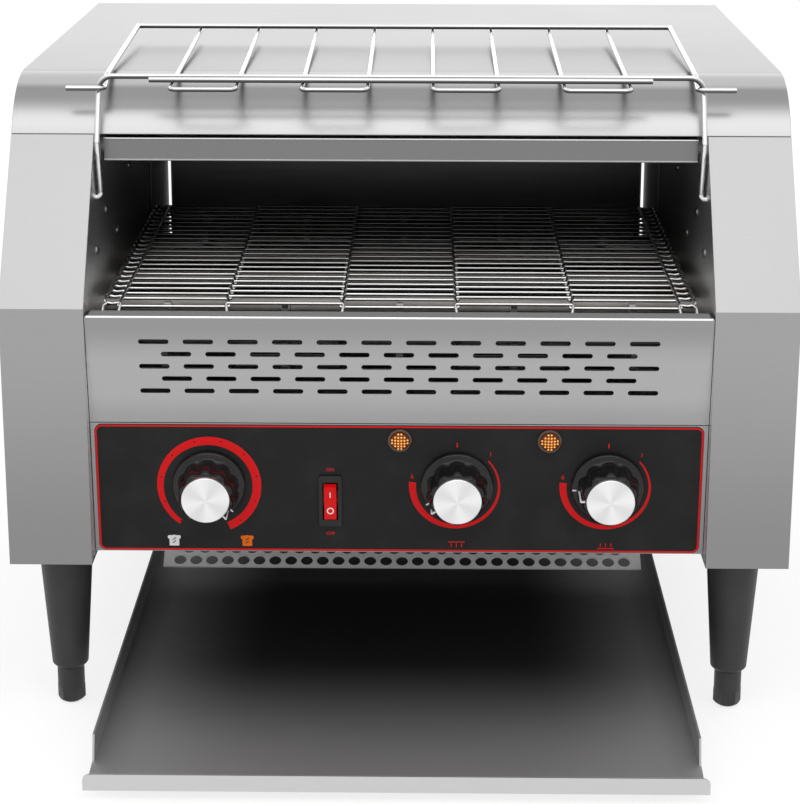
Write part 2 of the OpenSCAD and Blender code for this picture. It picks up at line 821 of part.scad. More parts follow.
module chain_wheel(y, z, bore_r) {
    translate([chain_x + chain_w / 2, y, z]) along_x(chain_w - 1)
        tooth_wheel(chain_teeth, chain_r - chain_t / 2 - fit, bore_r);
}

module driven_chain_wheel() {
    color(dark_steel) placed() chain_wheel(front_shaft_y, shaft_z, shaft_r + running / 2);
}

module motor_chain_wheel() {
    color(dark_steel) placed() chain_wheel(motor_y, motor_z, motor_shaft_r + running / 2);
}

// The loop round both chain wheels, drawn as [Y, Z], for a distance outside or inside the chain's middle.
module chain_loop(r) {
    a = [front_shaft_y, shaft_z];
    b = [motor_y, motor_z];
    for (c = [a, b]) translate(c) circle(r = r, $fn = 64);
    translate(a) rotate(atan2(b[1] - a[1], b[0] - a[0])) translate([0, -r]) square([norm(b - a), 2 * r]);
}

module drive_chain() {
    middle = chain_x + chain_w / 2;
    color([0.35, 0.35, 0.36]) placed() translate([middle, 0, 0]) along_x(chain_w) difference() {
        chain_loop(chain_r + chain_t / 2);
        chain_loop(chain_r - chain_t / 2);
    }
}

module gear_motor() {
    front_x = inner_x - fit;
    can_x = front_x - motor_box_w;
    end_x = can_x - motor_can_l;
    color([0.5, 0.52, 0.55]) placed() difference() {
        union() {
            translate([can_x, motor_y - motor_box_h / 2, motor_z - motor_box_h / 2])
                cube([motor_box_w, motor_box_h, motor_box_h]);
            cross_rod(end_x, can_x, motor_y, motor_z, motor_can_r);
            cross_rod(end_x - 4, end_x, motor_y, motor_z, motor_can_r - 6);
        }
        cross_rod(can_x + 4, front_x + 1, motor_y, motor_z, motor_shaft_r + running);
    }
}

module motor_output_shaft() {
    color(stainless) placed() cross_rod(inner_x - 16, chain_x + chain_w + 3, motor_y, motor_z, motor_shaft_r);
}

// ---- Switches behind the panel ----

// A rotary switch with its threaded bush through the panel and a bore for its spindle.
module rotary_switch(x, body_size) {
    behind = overlay_t + sheet + fit;
    on_panel(x, dial_drop) difference() {
        union() {
            translate([-body_size / 2, behind, -body_size / 2])
                cube([body_size, switch_back - behind, body_size]);
            facing_front() translate([0, 0, -behind - 1])
                cylinder(h = behind + 1 + bush_out, r = bush_hole_r - fit);
            facing_front() translate([0, 0, fit / 3]) cylinder(h = bush_out - 0.6, r = 6.9, $fn = 6);
        }
        facing_front() translate([0, 0, 4 - switch_back]) cylinder(h = 40, r = spindle_r + running);
    }
}

module speed_regulator() {
    color([0.3, 0.5, 0.35]) placed() rotary_switch(speed_x, 24);
}

module upper_heat_switch() {
    color([0.85, 0.83, 0.78]) placed() rotary_switch(upper_x, 32);
}

module lower_heat_switch() {
    color([0.85, 0.83, 0.78]) placed() rotary_switch(lower_x, 32);
}

module spindle(x) {
    color(stainless) placed() on_panel(x, dial_drop) facing_front()
        translate([0, 0, 5 - switch_back]) cylinder(h = switch_back - 5 + knob_h - 6, r = spindle_r);
}

module speed_spindle() {
    spindle(speed_x);
}

module upper_heat_spindle() {
    spindle(upper_x);
}

module lower_heat_spindle() {
    spindle(lower_x);
}

module knob(x) {
    lift = 0.5;
    recess_r = 9;
    recess_h = bush_out + 1.2;
    flute_r = 2.6;
    color(black) placed() on_panel(x, dial_drop) facing_front() translate([0, 0, lift]) difference() {
        rotate_extrude($fn = 96) polygon([[0, 0], [skirt_r - 0.6, 0], [skirt_r, 0.8],
            [skirt_r - 0.4, skirt_h - 1], [grip_r + 0.8, skirt_h + 0.6], [grip_r, skirt_h + 2],
            [grip_r - 0.6, knob_h - 1.4], [grip_r - 1.8, knob_h], [0, knob_h]]);
        for (i = [0 : flutes - 1]) rotate(i * 360 / flutes) translate([grip_r + 0.9, 0, skirt_h])
            cylinder(h = knob_h, r = flute_r);
        translate([0, 0, -1]) cylinder(h = recess_h + 1, r = recess_r);
        translate([0, 0, -1]) cylinder(h = knob_h - 4, r = spindle_r + running / 2);
    }
}

module speed_knob() {
    knob(speed_x);
}

module upper_heat_knob() {
    knob(upper_x);
}

module lower_heat_knob() {
    knob(lower_x);
}

module knob_cap(x) {
    color([0.8, 0.8, 0.8]) placed() on_panel(x, dial_drop) facing_front() translate([0, 0, 0.5 + knob_h])
        rotate_extrude($fn = 96) polygon([[0, 0], [cap_r, 0], [cap_r, cap_h - 0.5], [cap_r - 0.5, cap_h],
            [0, cap_h]]);
}

module speed_knob_cap() {
    knob_cap(speed_x);
}

module upper_heat_knob_cap() {
    knob_cap(upper_x);
}

module lower_heat_knob_cap() {
    knob_cap(lower_x);
}

module rocker_housing() {
    bezel_t = 1.6;
    body_back = 22;
    cavity_back = 9;
    color(black) placed() on_panel(rocker_x, rocker_drop) difference() {
        union() {
            translate([0, -bezel_t, 0]) upright(bezel_t) rounded(rocker_w, rocker_h, 1.5);
            translate([-rocker_body_w / 2, -0.5, -rocker_body_h / 2])
                cube([rocker_body_w, body_back, rocker_body_h]);
        }
        translate([-paddle_w / 2 - fit, -bezel_t - 1, -paddle_h / 2 - 0.9])
            cube([paddle_w + 2 * fit, cavity_back + bezel_t + 1, paddle_h + 1.8]);
        cross_rod(-rocker_body_w / 2 + 0.6, rocker_body_w / 2 - 0.6, rocker_axis_y, 0,
            paddle_pin_r + running);
    }
}

module rocker_paddle() {
    reach = 4.6;
    color([0.75, 0.05, 0.05]) placed() on_panel(rocker_x, rocker_drop) translate([0, rocker_axis_y, 0])
        rotate([rocker_tilt, 0, 0]) {
            along_x(paddle_w) polygon([[-reach, -paddle_h / 2], [-reach + 1.8, 0], [-reach, paddle_h / 2],
                [0, paddle_h / 2], [5, 4], [5, -4], [0, -paddle_h / 2]]);
            cross_rod(-rocker_body_w / 2 + 0.9, rocker_body_w / 2 - 0.9, 0, 0, paddle_pin_r);
        }
}

module lamp(x) {
    color([0.95, 0.5, 0.1]) placed() on_panel(x, lamp_drop) facing_front() {
        rotate_extrude() polygon([[0, -18], [lamp_body_r, -18], [lamp_body_r, 0], [lamp_r, 0], [lamp_r, 1],
            [lamp_r - 0.8, 1.8], [lamp_r - 1.2, 1.8], [lamp_r - 2.4, 3.6], [2, 4.6], [0, 4.6]]);
    }
}

module upper_lamp() {
    lamp(upper_lamp_x);
}

module lower_lamp() {
    lamp(lower_lamp_x);
}

module terminal_block() {
    poles = 6;
    screw_r = 4;
    color([0.9, 0.9, 0.86]) placed() translate([-poles * pole_w / 2, block_y, housing_floor_z]) difference() {
        cube([poles * pole_w, block_d, block_h]);
        for (i = [0 : poles - 1], y = [screw_r + 2, block_d - screw_r - 2])
            translate([(i + 0.5) * pole_w, y, 0.4 * block_h]) cylinder(h = block_h, r = screw_r);
        for (i = [1 : poles - 1]) translate([i * pole_w - 0.8, -1, 0.6 * block_h])
            cube([1.6, block_d + 2, block_h]);
    }
}

module control_board() {
    corner = 5;
    color([0.1, 0.35, 0.2]) placed() translate([board_spot[0], board_spot[1], housing_floor_z]) {
        translate([0, 0, standoff_h]) cube(board);
        for (x = [corner, board[0] - corner], y = [corner, board[1] - corner])
            translate([x, y, 0]) cylinder(h = standoff_h, r = 3);
        translate([0, 0, standoff_h + board[2]]) {
            translate([10, 12, 0]) cube([24, 18, 16]);
            translate([48, 14, 0]) cylinder(h = 22, r = 8);
            translate([48, 40, 0]) cube([18, 10, 9]);
        }
    }
}

// ---- Wire rack ----

// A quarter bend that starts at [r, 0] in its own plane and turns towards +Y.
module quarter_bend(r, d) {
    rotate_extrude(angle = 90) translate([r, 0]) circle(d = d, $fn = 24);
}

module joint_ball(p, d) {
    translate(p) sphere(d = d * 1.04, $fn = 32);
}

// One leg of the rack, from the bend at the front bar down to the pivot peg.
module rack_leg() {
    x = leg_wire_x;
    top = [x, front_bar_y, front_bar_z - rack_bend_r];
    middle = [x, kink[0], kink[1]];
    low = [x, pivot_y, pivot_z + hook_r];
    peg_end = inner_x + frame_t + 2.5;
    union() {
        translate([x - rack_bend_r, front_bar_y, front_bar_z - rack_bend_r]) rotate([90, 0, 0])
            quarter_bend(rack_bend_r, rack_d);
        rod(top, middle, rack_d);
        joint_ball(top, rack_d);
        joint_ball(middle, rack_d);
    }
    union() {
        rod(middle, low, rack_d);
        joint_ball(low, rack_d);
        translate([x + hook_r, pivot_y, pivot_z + hook_r]) rotate([90, 0, 180]) rotate([0, 0, -90])
            quarter_bend(hook_r, rack_d);
        cross_rod(x + hook_r, peg_end + hook_r, pivot_y, pivot_z, rack_d / 2);
    }
}

// One side bar of the rack, with the stub that rests on the side housing when the rack is tipped forward.
module rack_side_bar() {
    rear = [side_bar_x, rear_bar_y, rear_bar_z];
    dip = [side_bar_x, front_bar_y + 16, front_bar_z - 1.1];
    front = [side_bar_x, stub_y + stub_bend_r, stub_z];
    rod(front, dip, rack_d);
    rod(dip, rear, rack_d);
    for (p = [front, dip, rear]) joint_ball(p, rack_d);
    translate([side_bar_x + stub_bend_r, stub_y + stub_bend_r, stub_z]) rotate([0, 0, 180])
        quarter_bend(stub_bend_r, rack_d);
    cross_rod(side_bar_x + stub_bend_r, stub_x, stub_y, stub_z, rack_d / 2);
}

// Two long wires joined by a looped front end, under the rack's cross bars.
module hairpin(x) {
    length = (rear_bar_y - front_bar_y) / cos(long_slope);
    ahead = (front_bar_y - loop_y) / cos(long_slope);
    translate([x, front_bar_y, front_bar_z - long_drop]) rotate([long_slope, 0, 0]) {
        for (x = [-long_pitch / 2, long_pitch / 2]) rod([x, -ahead + loop_r, 0], [x, length, 0], long_d);
        rod([-long_pitch / 2 + loop_r, -ahead, 0], [long_pitch / 2 - loop_r, -ahead, 0], long_d);
        translate([-long_pitch / 2 + loop_r, -ahead + loop_r, 0]) rotate(180) quarter_bend(loop_r, long_d);
        translate([long_pitch / 2 - loop_r, -ahead + loop_r, 0]) rotate(-90) quarter_bend(loop_r, long_d);
    }
}

module wire_rack() {
    second_y = front_bar_y - 10;
    second_z = front_bar_z - 10 * tan(long_slope);
    color([0.85, 0.85, 0.85]) placed() {
        both_sides() {
            rack_leg();
            rack_side_bar();
        }
        cross_rod(-leg_wire_x + rack_bend_r, leg_wire_x - rack_bend_r, front_bar_y, front_bar_z, rack_d / 2);
        cross_rod(-side_bar_x, side_bar_x, rear_bar_y, rear_bar_z, rack_d / 2);
        cross_rod(-3.85 * long_pitch, 3.85 * long_pitch, second_y, second_z, rack_d / 2);
        for (i = [-1.5 : 1.5]) hairpin(2 * i * long_pitch);
    }
}

// ---- Legs and feet ----

module legs() {
    edge = 2.2;
    color(black) placed() for (spot = leg_spots) translate([spot[0], spot[1], 0]) rotate_extrude($fn = 96)
        polygon([[stud_r + running, foot_h], [leg_low_r - edge, foot_h], [leg_low_r, foot_h + edge],
            [leg_top_r, base_z], [stud_r + running, base_z]]);
}

module foot(spot) {
    hex_h = 11;
    tip_r = foot_af / 2 - 2;
    color(black) placed() translate([spot[0], spot[1], 0]) {
        intersection() {
            cylinder(h = hex_h, r = foot_af / 2 / cos(30), $fn = 6);
            cylinder(h = hex_h, r1 = tip_r, r2 = tip_r + hex_h * 1.4);
        }
        translate([0, 0, hex_h - 1]) cylinder(h = foot_h - fit - hex_h + 1, r = collar_r);
        cylinder(h = foot_h + 30, r = stud_r);
    }
}

module foot_front_left() {
    foot(leg_spots[0]);
}

module foot_rear_left() {
    foot(leg_spots[1]);
}

module foot_front_right() {
    foot(leg_spots[2]);
}

module foot_rear_right() {
    foot(leg_spots[3]);
}

module leg_bolts() {
    shank = 26;
    color(stainless) placed() for (spot = leg_spots) translate([spot[0], spot[1], leg_bolt_z]) {
        cylinder(h = 5, r = 7.5, $fn = 6);
        translate([0, 0, -shank]) cylinder(h = shank + 1, r = stud_r - running);
    }
}

// ---- Screws ----

// A domed screw head that stands out along +Z.
module screw() {
    head_r = 3.2;
    head_h = 1.8;
    rotate_extrude($fn = 32) polygon([[0, 0], [head_r, 0], [head_r - 0.3, head_h * 0.5],
        [head_r - 1.2, head_h * 0.9], [0, head_h]]);
}

module casing_screws() {
    edge = 40;
    side_spots = [[edge, base_z + 25], [body_d - edge, base_z + 25], [body_d - edge, top_z - edge],
        [seam_y + 75, top_z - edge]];
    rear_out = body_w / 2 - 25;
    rear_xs = [-rear_out, -rear_out / 3, rear_out / 3, rear_out];
    wall_spots = [for (spot = [[39, 41], [149, 47], [-5, 25], [85, 17]])
        [seam_y + spot[0], belt_z + spot[1]]];
    color([0.7, 0.7, 0.7]) placed() {
        both_sides() {
            for (spot = side_spots) translate([body_w / 2, spot[0], spot[1]]) rotate([0, 90, 0]) screw();
            for (spot = wall_spots) translate([inner_x, spot[0], spot[1]]) rotate([0, -90, 0]) screw();
        }
        for (x = rear_xs, z = [base_z + 12, top_z - 24]) translate([x, rear_y + sheet, z])
            rotate([-90, 0, 0]) screw();
    }
}

left_side_cover();
right_side_cover();
left_inner_frame();
right_inner_frame();
top_cover();
rear_panel();
cable_gland();
vent_panel();
control_panel();
panel_overlay();
control_housing();
upper_heater_box();
upper_heaters();
lower_heaters();
heater_end_caps();
lower_reflector();
rear_chute();
chute_guides();
toast_slide();
tray_rails();
toast_tray();
belt_upper_run();
belt_return_run();
drive_shaft();
drive_wheels();
idler_shaft();
idler_wheels();
shaft_bushes();
driven_chain_wheel();
motor_chain_wheel();
motor_output_shaft();
drive_chain();
gear_motor();
speed_regulator();
upper_heat_switch();
lower_heat_switch();
speed_spindle();
upper_heat_spindle();
lower_heat_spindle();
speed_knob();
upper_heat_knob();
lower_heat_knob();
speed_knob_cap();
upper_heat_knob_cap();
lower_heat_knob_cap();
rocker_housing();
rocker_paddle();
upper_lamp();
lower_lamp();
terminal_block();
control_board();
wire_rack();
legs();
foot_front_left();
foot_front_right();
foot_rear_left();
foot_rear_right();
leg_bolts();
casing_screws();
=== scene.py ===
"""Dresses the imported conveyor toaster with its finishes, printing and fine wire work.

Everything is in metres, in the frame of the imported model. Distances written in millimetres are
turned into metres by MM, and places are read from the model's own nodes.
"""

from __future__ import annotations

import json
import logging
import math
from dataclasses import dataclass, field
from enum import Enum
from typing import Callable, Iterable, Sequence

import bmesh
import bpy
from mathutils import Matrix, Vector

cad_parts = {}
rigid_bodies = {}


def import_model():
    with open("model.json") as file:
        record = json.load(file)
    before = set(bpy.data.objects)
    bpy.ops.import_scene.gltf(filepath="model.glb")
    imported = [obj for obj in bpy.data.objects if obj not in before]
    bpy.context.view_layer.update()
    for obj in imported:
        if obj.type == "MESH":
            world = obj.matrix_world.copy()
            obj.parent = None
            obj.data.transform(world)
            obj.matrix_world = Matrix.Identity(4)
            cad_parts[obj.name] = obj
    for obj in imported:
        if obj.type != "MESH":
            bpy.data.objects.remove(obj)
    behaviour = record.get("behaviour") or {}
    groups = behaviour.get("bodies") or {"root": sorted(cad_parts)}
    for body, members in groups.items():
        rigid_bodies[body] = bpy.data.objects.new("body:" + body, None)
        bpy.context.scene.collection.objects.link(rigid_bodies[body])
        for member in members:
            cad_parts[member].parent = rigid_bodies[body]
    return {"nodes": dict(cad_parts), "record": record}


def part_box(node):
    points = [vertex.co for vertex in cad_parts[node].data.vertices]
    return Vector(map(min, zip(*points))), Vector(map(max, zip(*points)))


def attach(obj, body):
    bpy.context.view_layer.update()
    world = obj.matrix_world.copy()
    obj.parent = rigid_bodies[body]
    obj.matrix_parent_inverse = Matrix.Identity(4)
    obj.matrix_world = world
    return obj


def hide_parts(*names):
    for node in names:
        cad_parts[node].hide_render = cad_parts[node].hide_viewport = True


MM = 0.001
WHITE = (1.0, 1.0, 1.0, 1.0)
POINTERS_DEG = {"speed_knob": 138.0, "upper_heat_knob": 240.0, "lower_heat_knob": 268.0}
Point = Sequence[float]
Pairs = list[tuple[float, float]]
Inputs = dict | list | None
RadiusRule = Callable[[float, float, float], float]
log = logging.getLogger("toaster")


# ---------------------------------------------------------------- node trees


class Link:
    """A socket's value in a node tree; Python operators add the Math nodes."""

    def __init__(self, owner: "Nodes", socket: bpy.types.NodeSocket) -> None:
        """Keeps the tree and the output socket."""
        self.owner = owner
        self.socket = socket

    def _math(self, operation: str, *values: "Link | float") -> "Link":
        """Adds one Math node."""
        return self.owner.node("ShaderNodeMath", {"operation": operation}, list(values))

    def __add__(self, other: "Link | float") -> "Link":
        """self + other."""
        return self._math("ADD", self, other)

    __radd__ = __add__

    def __sub__(self, other: "Link | float") -> "Link":
        """self - other."""
        return self._math("SUBTRACT", self, other)

    def __rsub__(self, other: float) -> "Link":
        """other - self."""
        return self._math("SUBTRACT", other, self)

    def __mul__(self, other: "Link | float") -> "Link":
        """self * other."""
        return self._math("MULTIPLY", self, other)

    __rmul__ = __mul__

    def __truediv__(self, other: "Link | float") -> "Link":
        """self / other."""
        return self._math("DIVIDE", self, other)

    def apply(self, operation: str, *more: "Link | float") -> "Link":
        """Any other Math node, such as SINE, or MAXIMUM with one value more."""
        return self._math(operation, self, *more)

    def clamp(self, top: "Link | float") -> "Link":
        """The value held between 0 and a top."""
        return self.apply("MAXIMUM", 0.0).apply("MINIMUM", top)

    def smooth(self, low: float, high: float) -> "Link":
        """0 below low, 1 above high and a smooth step between them.

        Args:
            low: The value that gives 0.
            high: The value that gives 1.

        Returns:
            The stepped value.
        """
        settings = {"interpolation_type": "SMOOTHSTEP"}
        values = {"Value": self, "From Min": low, "From Max": high}
        return self.owner.node("ShaderNodeMapRange", settings, values)


class Nodes:
    """A node tree, with one method that adds any node."""

    def __init__(self, tree: bpy.types.NodeTree) -> None:
        """Keeps the tree."""
        self.tree = tree

    def node(self, kind: str, settings: dict | None = None, inputs: Inputs = None,
             out: int | str = 0) -> Link:
        """Adds a node.

        Args:
            kind: The node's Blender type.
            settings: Node properties that are set first.
            inputs: Socket values or links, by name or in order.
            out: The output socket to return.

        Returns:
            The chosen output.
        """
        made = self.tree.nodes.new(kind)
        for key, value in (settings or {}).items():
            setattr(made, key, value)
        pairs = enumerate(inputs) if isinstance(inputs, list) else (inputs or {}).items()
        for key, value in pairs:
            self.feed(made.inputs[key], value)
        return Link(self, made.outputs[out])

    def feed(self, socket: bpy.types.NodeSocket, value: "Link | float | Point") -> None:
        """Links or sets an input socket.

        Args:
            socket: The input.
            value: What it gets.
        """
        if isinstance(value, Link):
            self.tree.links.new(value.socket, socket)
        else:
            socket.default_value = value

    def only(self, kind: str) -> bpy.types.Node:
        """The tree's one node of a type."""
        return next(n for n in self.tree.nodes if n.type == kind)

    def part(self, vector: Link, index: int) -> Link:
        """One of a vector's three numbers."""
        return self.node("ShaderNodeSeparateXYZ", None, [vector], out=index)

    def length(self, vector: Link) -> Link:
        """A vector's length."""
        return self.node("ShaderNodeVectorMath", {"operation": "LENGTH"}, [vector], out="Value")


class Graph(Nodes):
    """A material's node tree."""

    def __init__(self, name: str) -> None:
        """Starts a material that holds a Principled shader only.

        Args:
            name: The material's name.
        """
        self.material = bpy.data.materials.new(name)
        self.material.use_nodes = True
        super().__init__(self.material.node_tree)
        self.shader = self.only("BSDF_PRINCIPLED")

    def set(self, **values: "Link | float | Point") -> None:
        """Feeds the Principled shader's sockets, named with underscores for spaces."""
        for key, value in values.items():
            self.feed(self.shader.inputs[key.replace("_", " ")], value)

    def place(self, scale: Point = (1, 1, 1), centre: Point = (0, 0, 0), turn: Point = (0, 0, 0)) -> Link:
        """Object coordinates about a centre, turned and then stretched.

        Args:
            scale: Stretch along each axis.
            centre: The point that becomes the origin.
            turn: Euler angles that straighten the piece, in radians.

        Returns:
            The coordinate vector.
        """
        here = self.node("ShaderNodeTexCoord", out="Object")
        moved = self.node("ShaderNodeVectorMath", {"operation": "SUBTRACT"}, [here, tuple(centre)])
        straight = self.node("ShaderNodeMapping", None, {"Vector": moved, "Rotation": tuple(turn)})
        return self.node("ShaderNodeVectorMath", {"operation": "MULTIPLY"}, [straight, tuple(scale)])

    def noise(self, vector: Link, scale: float, detail: float = 3.0, roughness: float = 0.5) -> Link:
        """A noise texture's value between 0 and 1."""
        values = {"Vector": vector, "Scale": scale, "Detail": detail, "Roughness": roughness}
        return self.node("ShaderNodeTexNoise", None, values)

    def mix(self, factor: "Link | float", first: "Link | Point", second: "Link | Point") -> Link:
        """Blends two colours.

        Args:
            factor: Share of the second colour.
            first: The colour at 0.
            second: The colour at 1.

        Returns:
            The blend.
        """
        ends = [c if isinstance(c, Link) else (*c, 1.0) for c in (first, second)]
        sockets = dict(zip((0, 6, 7), (factor, *ends)))
        return self.node("ShaderNodeMix", {"data_type": "RGBA"}, sockets, out=2)

    def axis(self, index: int) -> Link:
        """The object coordinate along X, Y or Z, in metres."""
        return self.part(self.node("ShaderNodeTexCoord", out="Object"), index)

    def scale(self, colour: Link, share: "Link | float") -> Link:
        """A colour times a number."""
        return self.node("ShaderNodeVectorMath", {"operation": "SCALE"}, {"Vector": colour, "Scale": share})

    def bump(self, height: Link, strength: float, distance: float) -> Link:
        """A bump normal from a height, with its distance in metres."""
        values = {"Height": height, "Strength": strength, "Distance": distance}
        return self.node("ShaderNodeBump", None, values)


# ---------------------------------------------------------------- finishes


def grey(level: float) -> Point:
    """A neutral tint."""
    return (level, level, level)


class Grain(Enum):
    """The way a sheet's brush lines run."""

    ACROSS = (2.0, 300.0, 300.0)
    ALONG = (300.0, 2.0, 300.0)
    UPRIGHT = (300.0, 300.0, 2.0)


@dataclass(frozen=True)
class Fade:
    """A tint that changes gently along one axis; every fade in this script paints shade or a highlight.

    Attributes:
        axis: 0 across, 1 towards the back, 2 up.
        start: Where the change starts, in metres.
        end: Where it ends.
        share: The tint's share that is left past the end.
    """

    axis: int
    start: float
    end: float
    share: float

    def apply(self, g: Graph, colour: Link) -> Link:
        """Scales a colour by the fade.

        Args:
            g: The material's graph.
            colour: The colour to change.

        Returns:
            The changed colour.
        """
        along = g.axis(self.axis)
        if self.end > self.start:
            done = along.smooth(self.start, self.end)
        else:
            done = 1 - along.smooth(self.end, self.start)
        return g.scale(colour, done * (self.share - 1.0) + 1.0)


@dataclass(frozen=True)
class BrushedSteel:
    """Stainless sheet with a fine brushed grain and a faint cloudy variation.

    Attributes:
        name: The material's name.
        tint: Base colour.
        shine: Roughness, before the grain varies it.
        grain: The direction of the brush lines.
        depth: Strength of the grain's bump.
        fades: Changes of the tint over the sheet: painted shade and highlights.
        metal: Metallic share, lowered where a pale, mostly diffuse sheet is painted to look lit.
    """

    name: str
    tint: Point = (0.58, 0.58, 0.575)
    shine: float = 0.34
    grain: Grain = Grain.ACROSS
    depth: float = 0.12
    fades: tuple[Fade, ...] = ()
    metal: float = 1.0

    def make(self) -> bpy.types.Material:
        """Builds the material.

        Returns:
            The material.
        """
        g = Graph(self.name)
        lines = g.noise(g.place(self.grain.value), 8.0, 4.0, 0.6)
        cloud = g.noise(g.place(), 7.0, 2.0, 0.5)
        dark = tuple(c * 0.9 for c in self.tint)
        light = tuple(min(1.0, c * 1.07) for c in self.tint)
        colour = g.mix(lines * 0.7 + cloud * 0.3, dark, light)
        for fade in self.fades:
            colour = fade.apply(g, colour)
        g.set(Base_Color=colour, Metallic=self.metal)
        g.set(Roughness=lines * 0.12 + cloud * 0.06 + (self.shine - 0.09))
        g.set(Normal=g.bump(lines, self.depth, 0.00012))
        return g.material


@dataclass(frozen=True)
class Moulded:
    """Moulded plastic with a fine spark-eroded grain and slight handling marks.

    Attributes:
        name: The material's name.
        tint: Base colour.
        shine: Roughness, before the grain varies it.
        grain_mm: Size of the grain.
        depth: Strength of the grain's bump.
        coat: Weight of the clear coat.
        glow: Strength of the colour's own light.
        gloss: Specular level.
    """

    name: str
    tint: Point = (0.012, 0.012, 0.013)
    shine: float = 0.38
    grain_mm: float = 0.5
    depth: float = 0.15
    coat: float = 0.0
    glow: float = 0.0
    gloss: float = 0.5

    def make(self) -> bpy.types.Material:
        """Builds the material.

        Returns:
            The material.
        """
        g = Graph(self.name)
        g.set(Specular_IOR_Level=self.gloss)
        grain = g.noise(g.place(), 1000.0 / self.grain_mm / 3.0, 2.0)
        wear = g.noise(g.place(), 45.0, 3.0)
        lifted = tuple(min(1.0, c * 1.25 + 0.004) for c in self.tint)
        g.set(Base_Color=g.mix(wear.smooth(0.35, 0.75), self.tint, lifted), Metallic=0.0)
        g.set(Roughness=wear * 0.12 + (self.shine - 0.06), Coat_Weight=self.coat, Coat_Roughness=0.08)
        g.set(Normal=g.bump(grain, self.depth, 0.0001))
        if self.glow:
            g.set(Emission_Color=(*self.tint, 1.0), Emission_Strength=self.glow)
        return g.material


@dataclass(frozen=True)
class DrawnWire:
    """Round wire, polished or browned by heat.

    Attributes:
        name: The material's name.
        tint: Base colour of clean metal.
        browned: Base colour where heat has stained it.
        stain: Share of the surface that is stained.
        shine: Roughness, before it varies.
        fades: Changes of the tint over the wires: painted shade on the belt.
        underside: Share of the tint that is left on what faces down, as painted shade.
        plain_below: Height below which the undersides keep their tint, without painted shade, in metres.
    """

    name: str
    tint: Point = (0.78, 0.78, 0.77)
    browned: Point = (0.45, 0.40, 0.34)
    stain: float = 0.0
    shine: float = 0.16
    fades: tuple[Fade, ...] = ()
    underside: float = 1.0
    plain_below: float = 0.0

    def make(self) -> bpy.types.Material:
        """Builds the material.

        Returns:
            The material.
        """
        g = Graph(self.name)
        cloud = g.noise(g.place(), 22.0, 3.0)
        draw = g.noise(g.place((6, 400, 400)), 6.0, 2.0)
        spots = cloud.smooth(0.62 - 0.45 * self.stain, 0.95 - 0.45 * self.stain)
        colour = g.mix(spots, self.tint, self.browned if self.stain else tuple(c * 0.9 for c in self.tint))
        for fade in self.fades:
            colour = fade.apply(g, colour)
        # Painted shade: faces that look down are darkened.
        if self.underside < 1.0:
            upward = g.part(g.node("ShaderNodeTexCoord", out="Normal"), 2)
            dark = (1 - upward.smooth(-0.15, 0.6)) * (1.0 - self.underside)
            if self.plain_below:
                dark = dark * g.axis(2).smooth(self.plain_below, self.plain_below + 4 * MM)
            colour = g.scale(colour, 1 - dark)
        g.set(Base_Color=colour, Metallic=1.0, Roughness=cloud * 0.14 + draw * 0.08 + self.shine)
        g.set(Normal=g.bump(draw, 0.05, 0.0001))
        return g.material


@dataclass(frozen=True)
class SpunCap:
    """Spun aluminium with fine rings, and a painted highlight: fan-shaped bright and dim sectors with radial
    streaks that stand in for the turned metal's reflection.

    Attributes:
        name: The material's name.
        centre: Middle of the cap.
        lean: Angle by which the panel leans, in radians.
        tint: Base colour.
    """

    name: str
    centre: Point
    lean: float
    tint: Point = (0.93, 0.93, 0.93)

    def make(self) -> bpy.types.Material:
        """Builds the material.

        Returns:
            The material.
        """
        g = Graph(self.name)
        face = g.place((1, 1, 1), self.centre, (-self.lean, 0, 0))
        angle = g.node("ShaderNodeMath", {"operation": "ARCTAN2"}, [g.part(face, 2), g.part(face, 0)])
        # Painted highlight: bright and dim sectors and radial streaks about the cap's middle.
        fan = (angle * 4.0 + 0.6).apply("SINE") * 0.5 + 0.5
        rings = (g.length(face) * 26000.0).apply("SINE")
        spokes = g.noise(g.node("ShaderNodeCombineXYZ", None, [angle * 9.0, 0.0, 0.0]), 2.0, 3.0)
        shade = tuple(c * 0.74 for c in self.tint)
        g.set(Base_Color=g.mix(fan * 0.55 + spokes * 0.45, shade, self.tint), Metallic=1.0)
        g.set(Roughness=spokes * 0.1 + 0.28, Normal=g.bump(rings, 0.12, 0.00005))
        return g.material


@dataclass(frozen=True)
class Print:
    """Screen-printed ink with a faintly uneven edge of colour.

    Attributes:
        name: The material's name.
        tint: Base colour.
    """

    name: str
    tint: Point

    def make(self) -> bpy.types.Material:
        """Builds the material.

        Returns:
            The material.
        """
        g = Graph(self.name)
        speck = g.noise(g.place(), 900.0, 2.0)
        g.set(Base_Color=g.mix(speck, tuple(c * 0.86 for c in self.tint), self.tint))
        g.set(Roughness=speck * 0.1 + 0.5, Specular_IOR_Level=0.12)
        return g.material


@dataclass(frozen=True)
class LensPlastic:
    """Amber lens plastic, brighter where the neon behind it shows.

    Attributes:
        name: The material's name.
        centre: Middle of the lens.
        tint: Base colour.
        glow: Strength of the neon's light.
    """

    name: str
    centre: Point
    tint: Point = (0.17, 0.035, 0.004)
    glow: float = 0.8

    def make(self) -> bpy.types.Material:
        """Builds the material.

        Returns:
            The material.
        """
        g = Graph(self.name)
        core = 1 - g.length(g.place((1, 1, 1), self.centre)).smooth(1.5 * MM, 7.5 * MM)
        swirl = g.noise(g.place(), 500.0, 2.0)
        dark = tuple(c * 0.2 for c in self.tint)
        g.set(Base_Color=g.mix(core, dark, self.tint), Roughness=swirl * 0.08 + 0.1)
        g.set(Emission_Color=g.mix(core * swirl, (0.0, 0.0, 0.0), self.tint), Emission_Strength=self.glow)
        g.set(Coat_Weight=0.08, Coat_Roughness=0.08, Specular_IOR_Level=0.2)
        return g.material


# ---------------------------------------------------------------- meshes


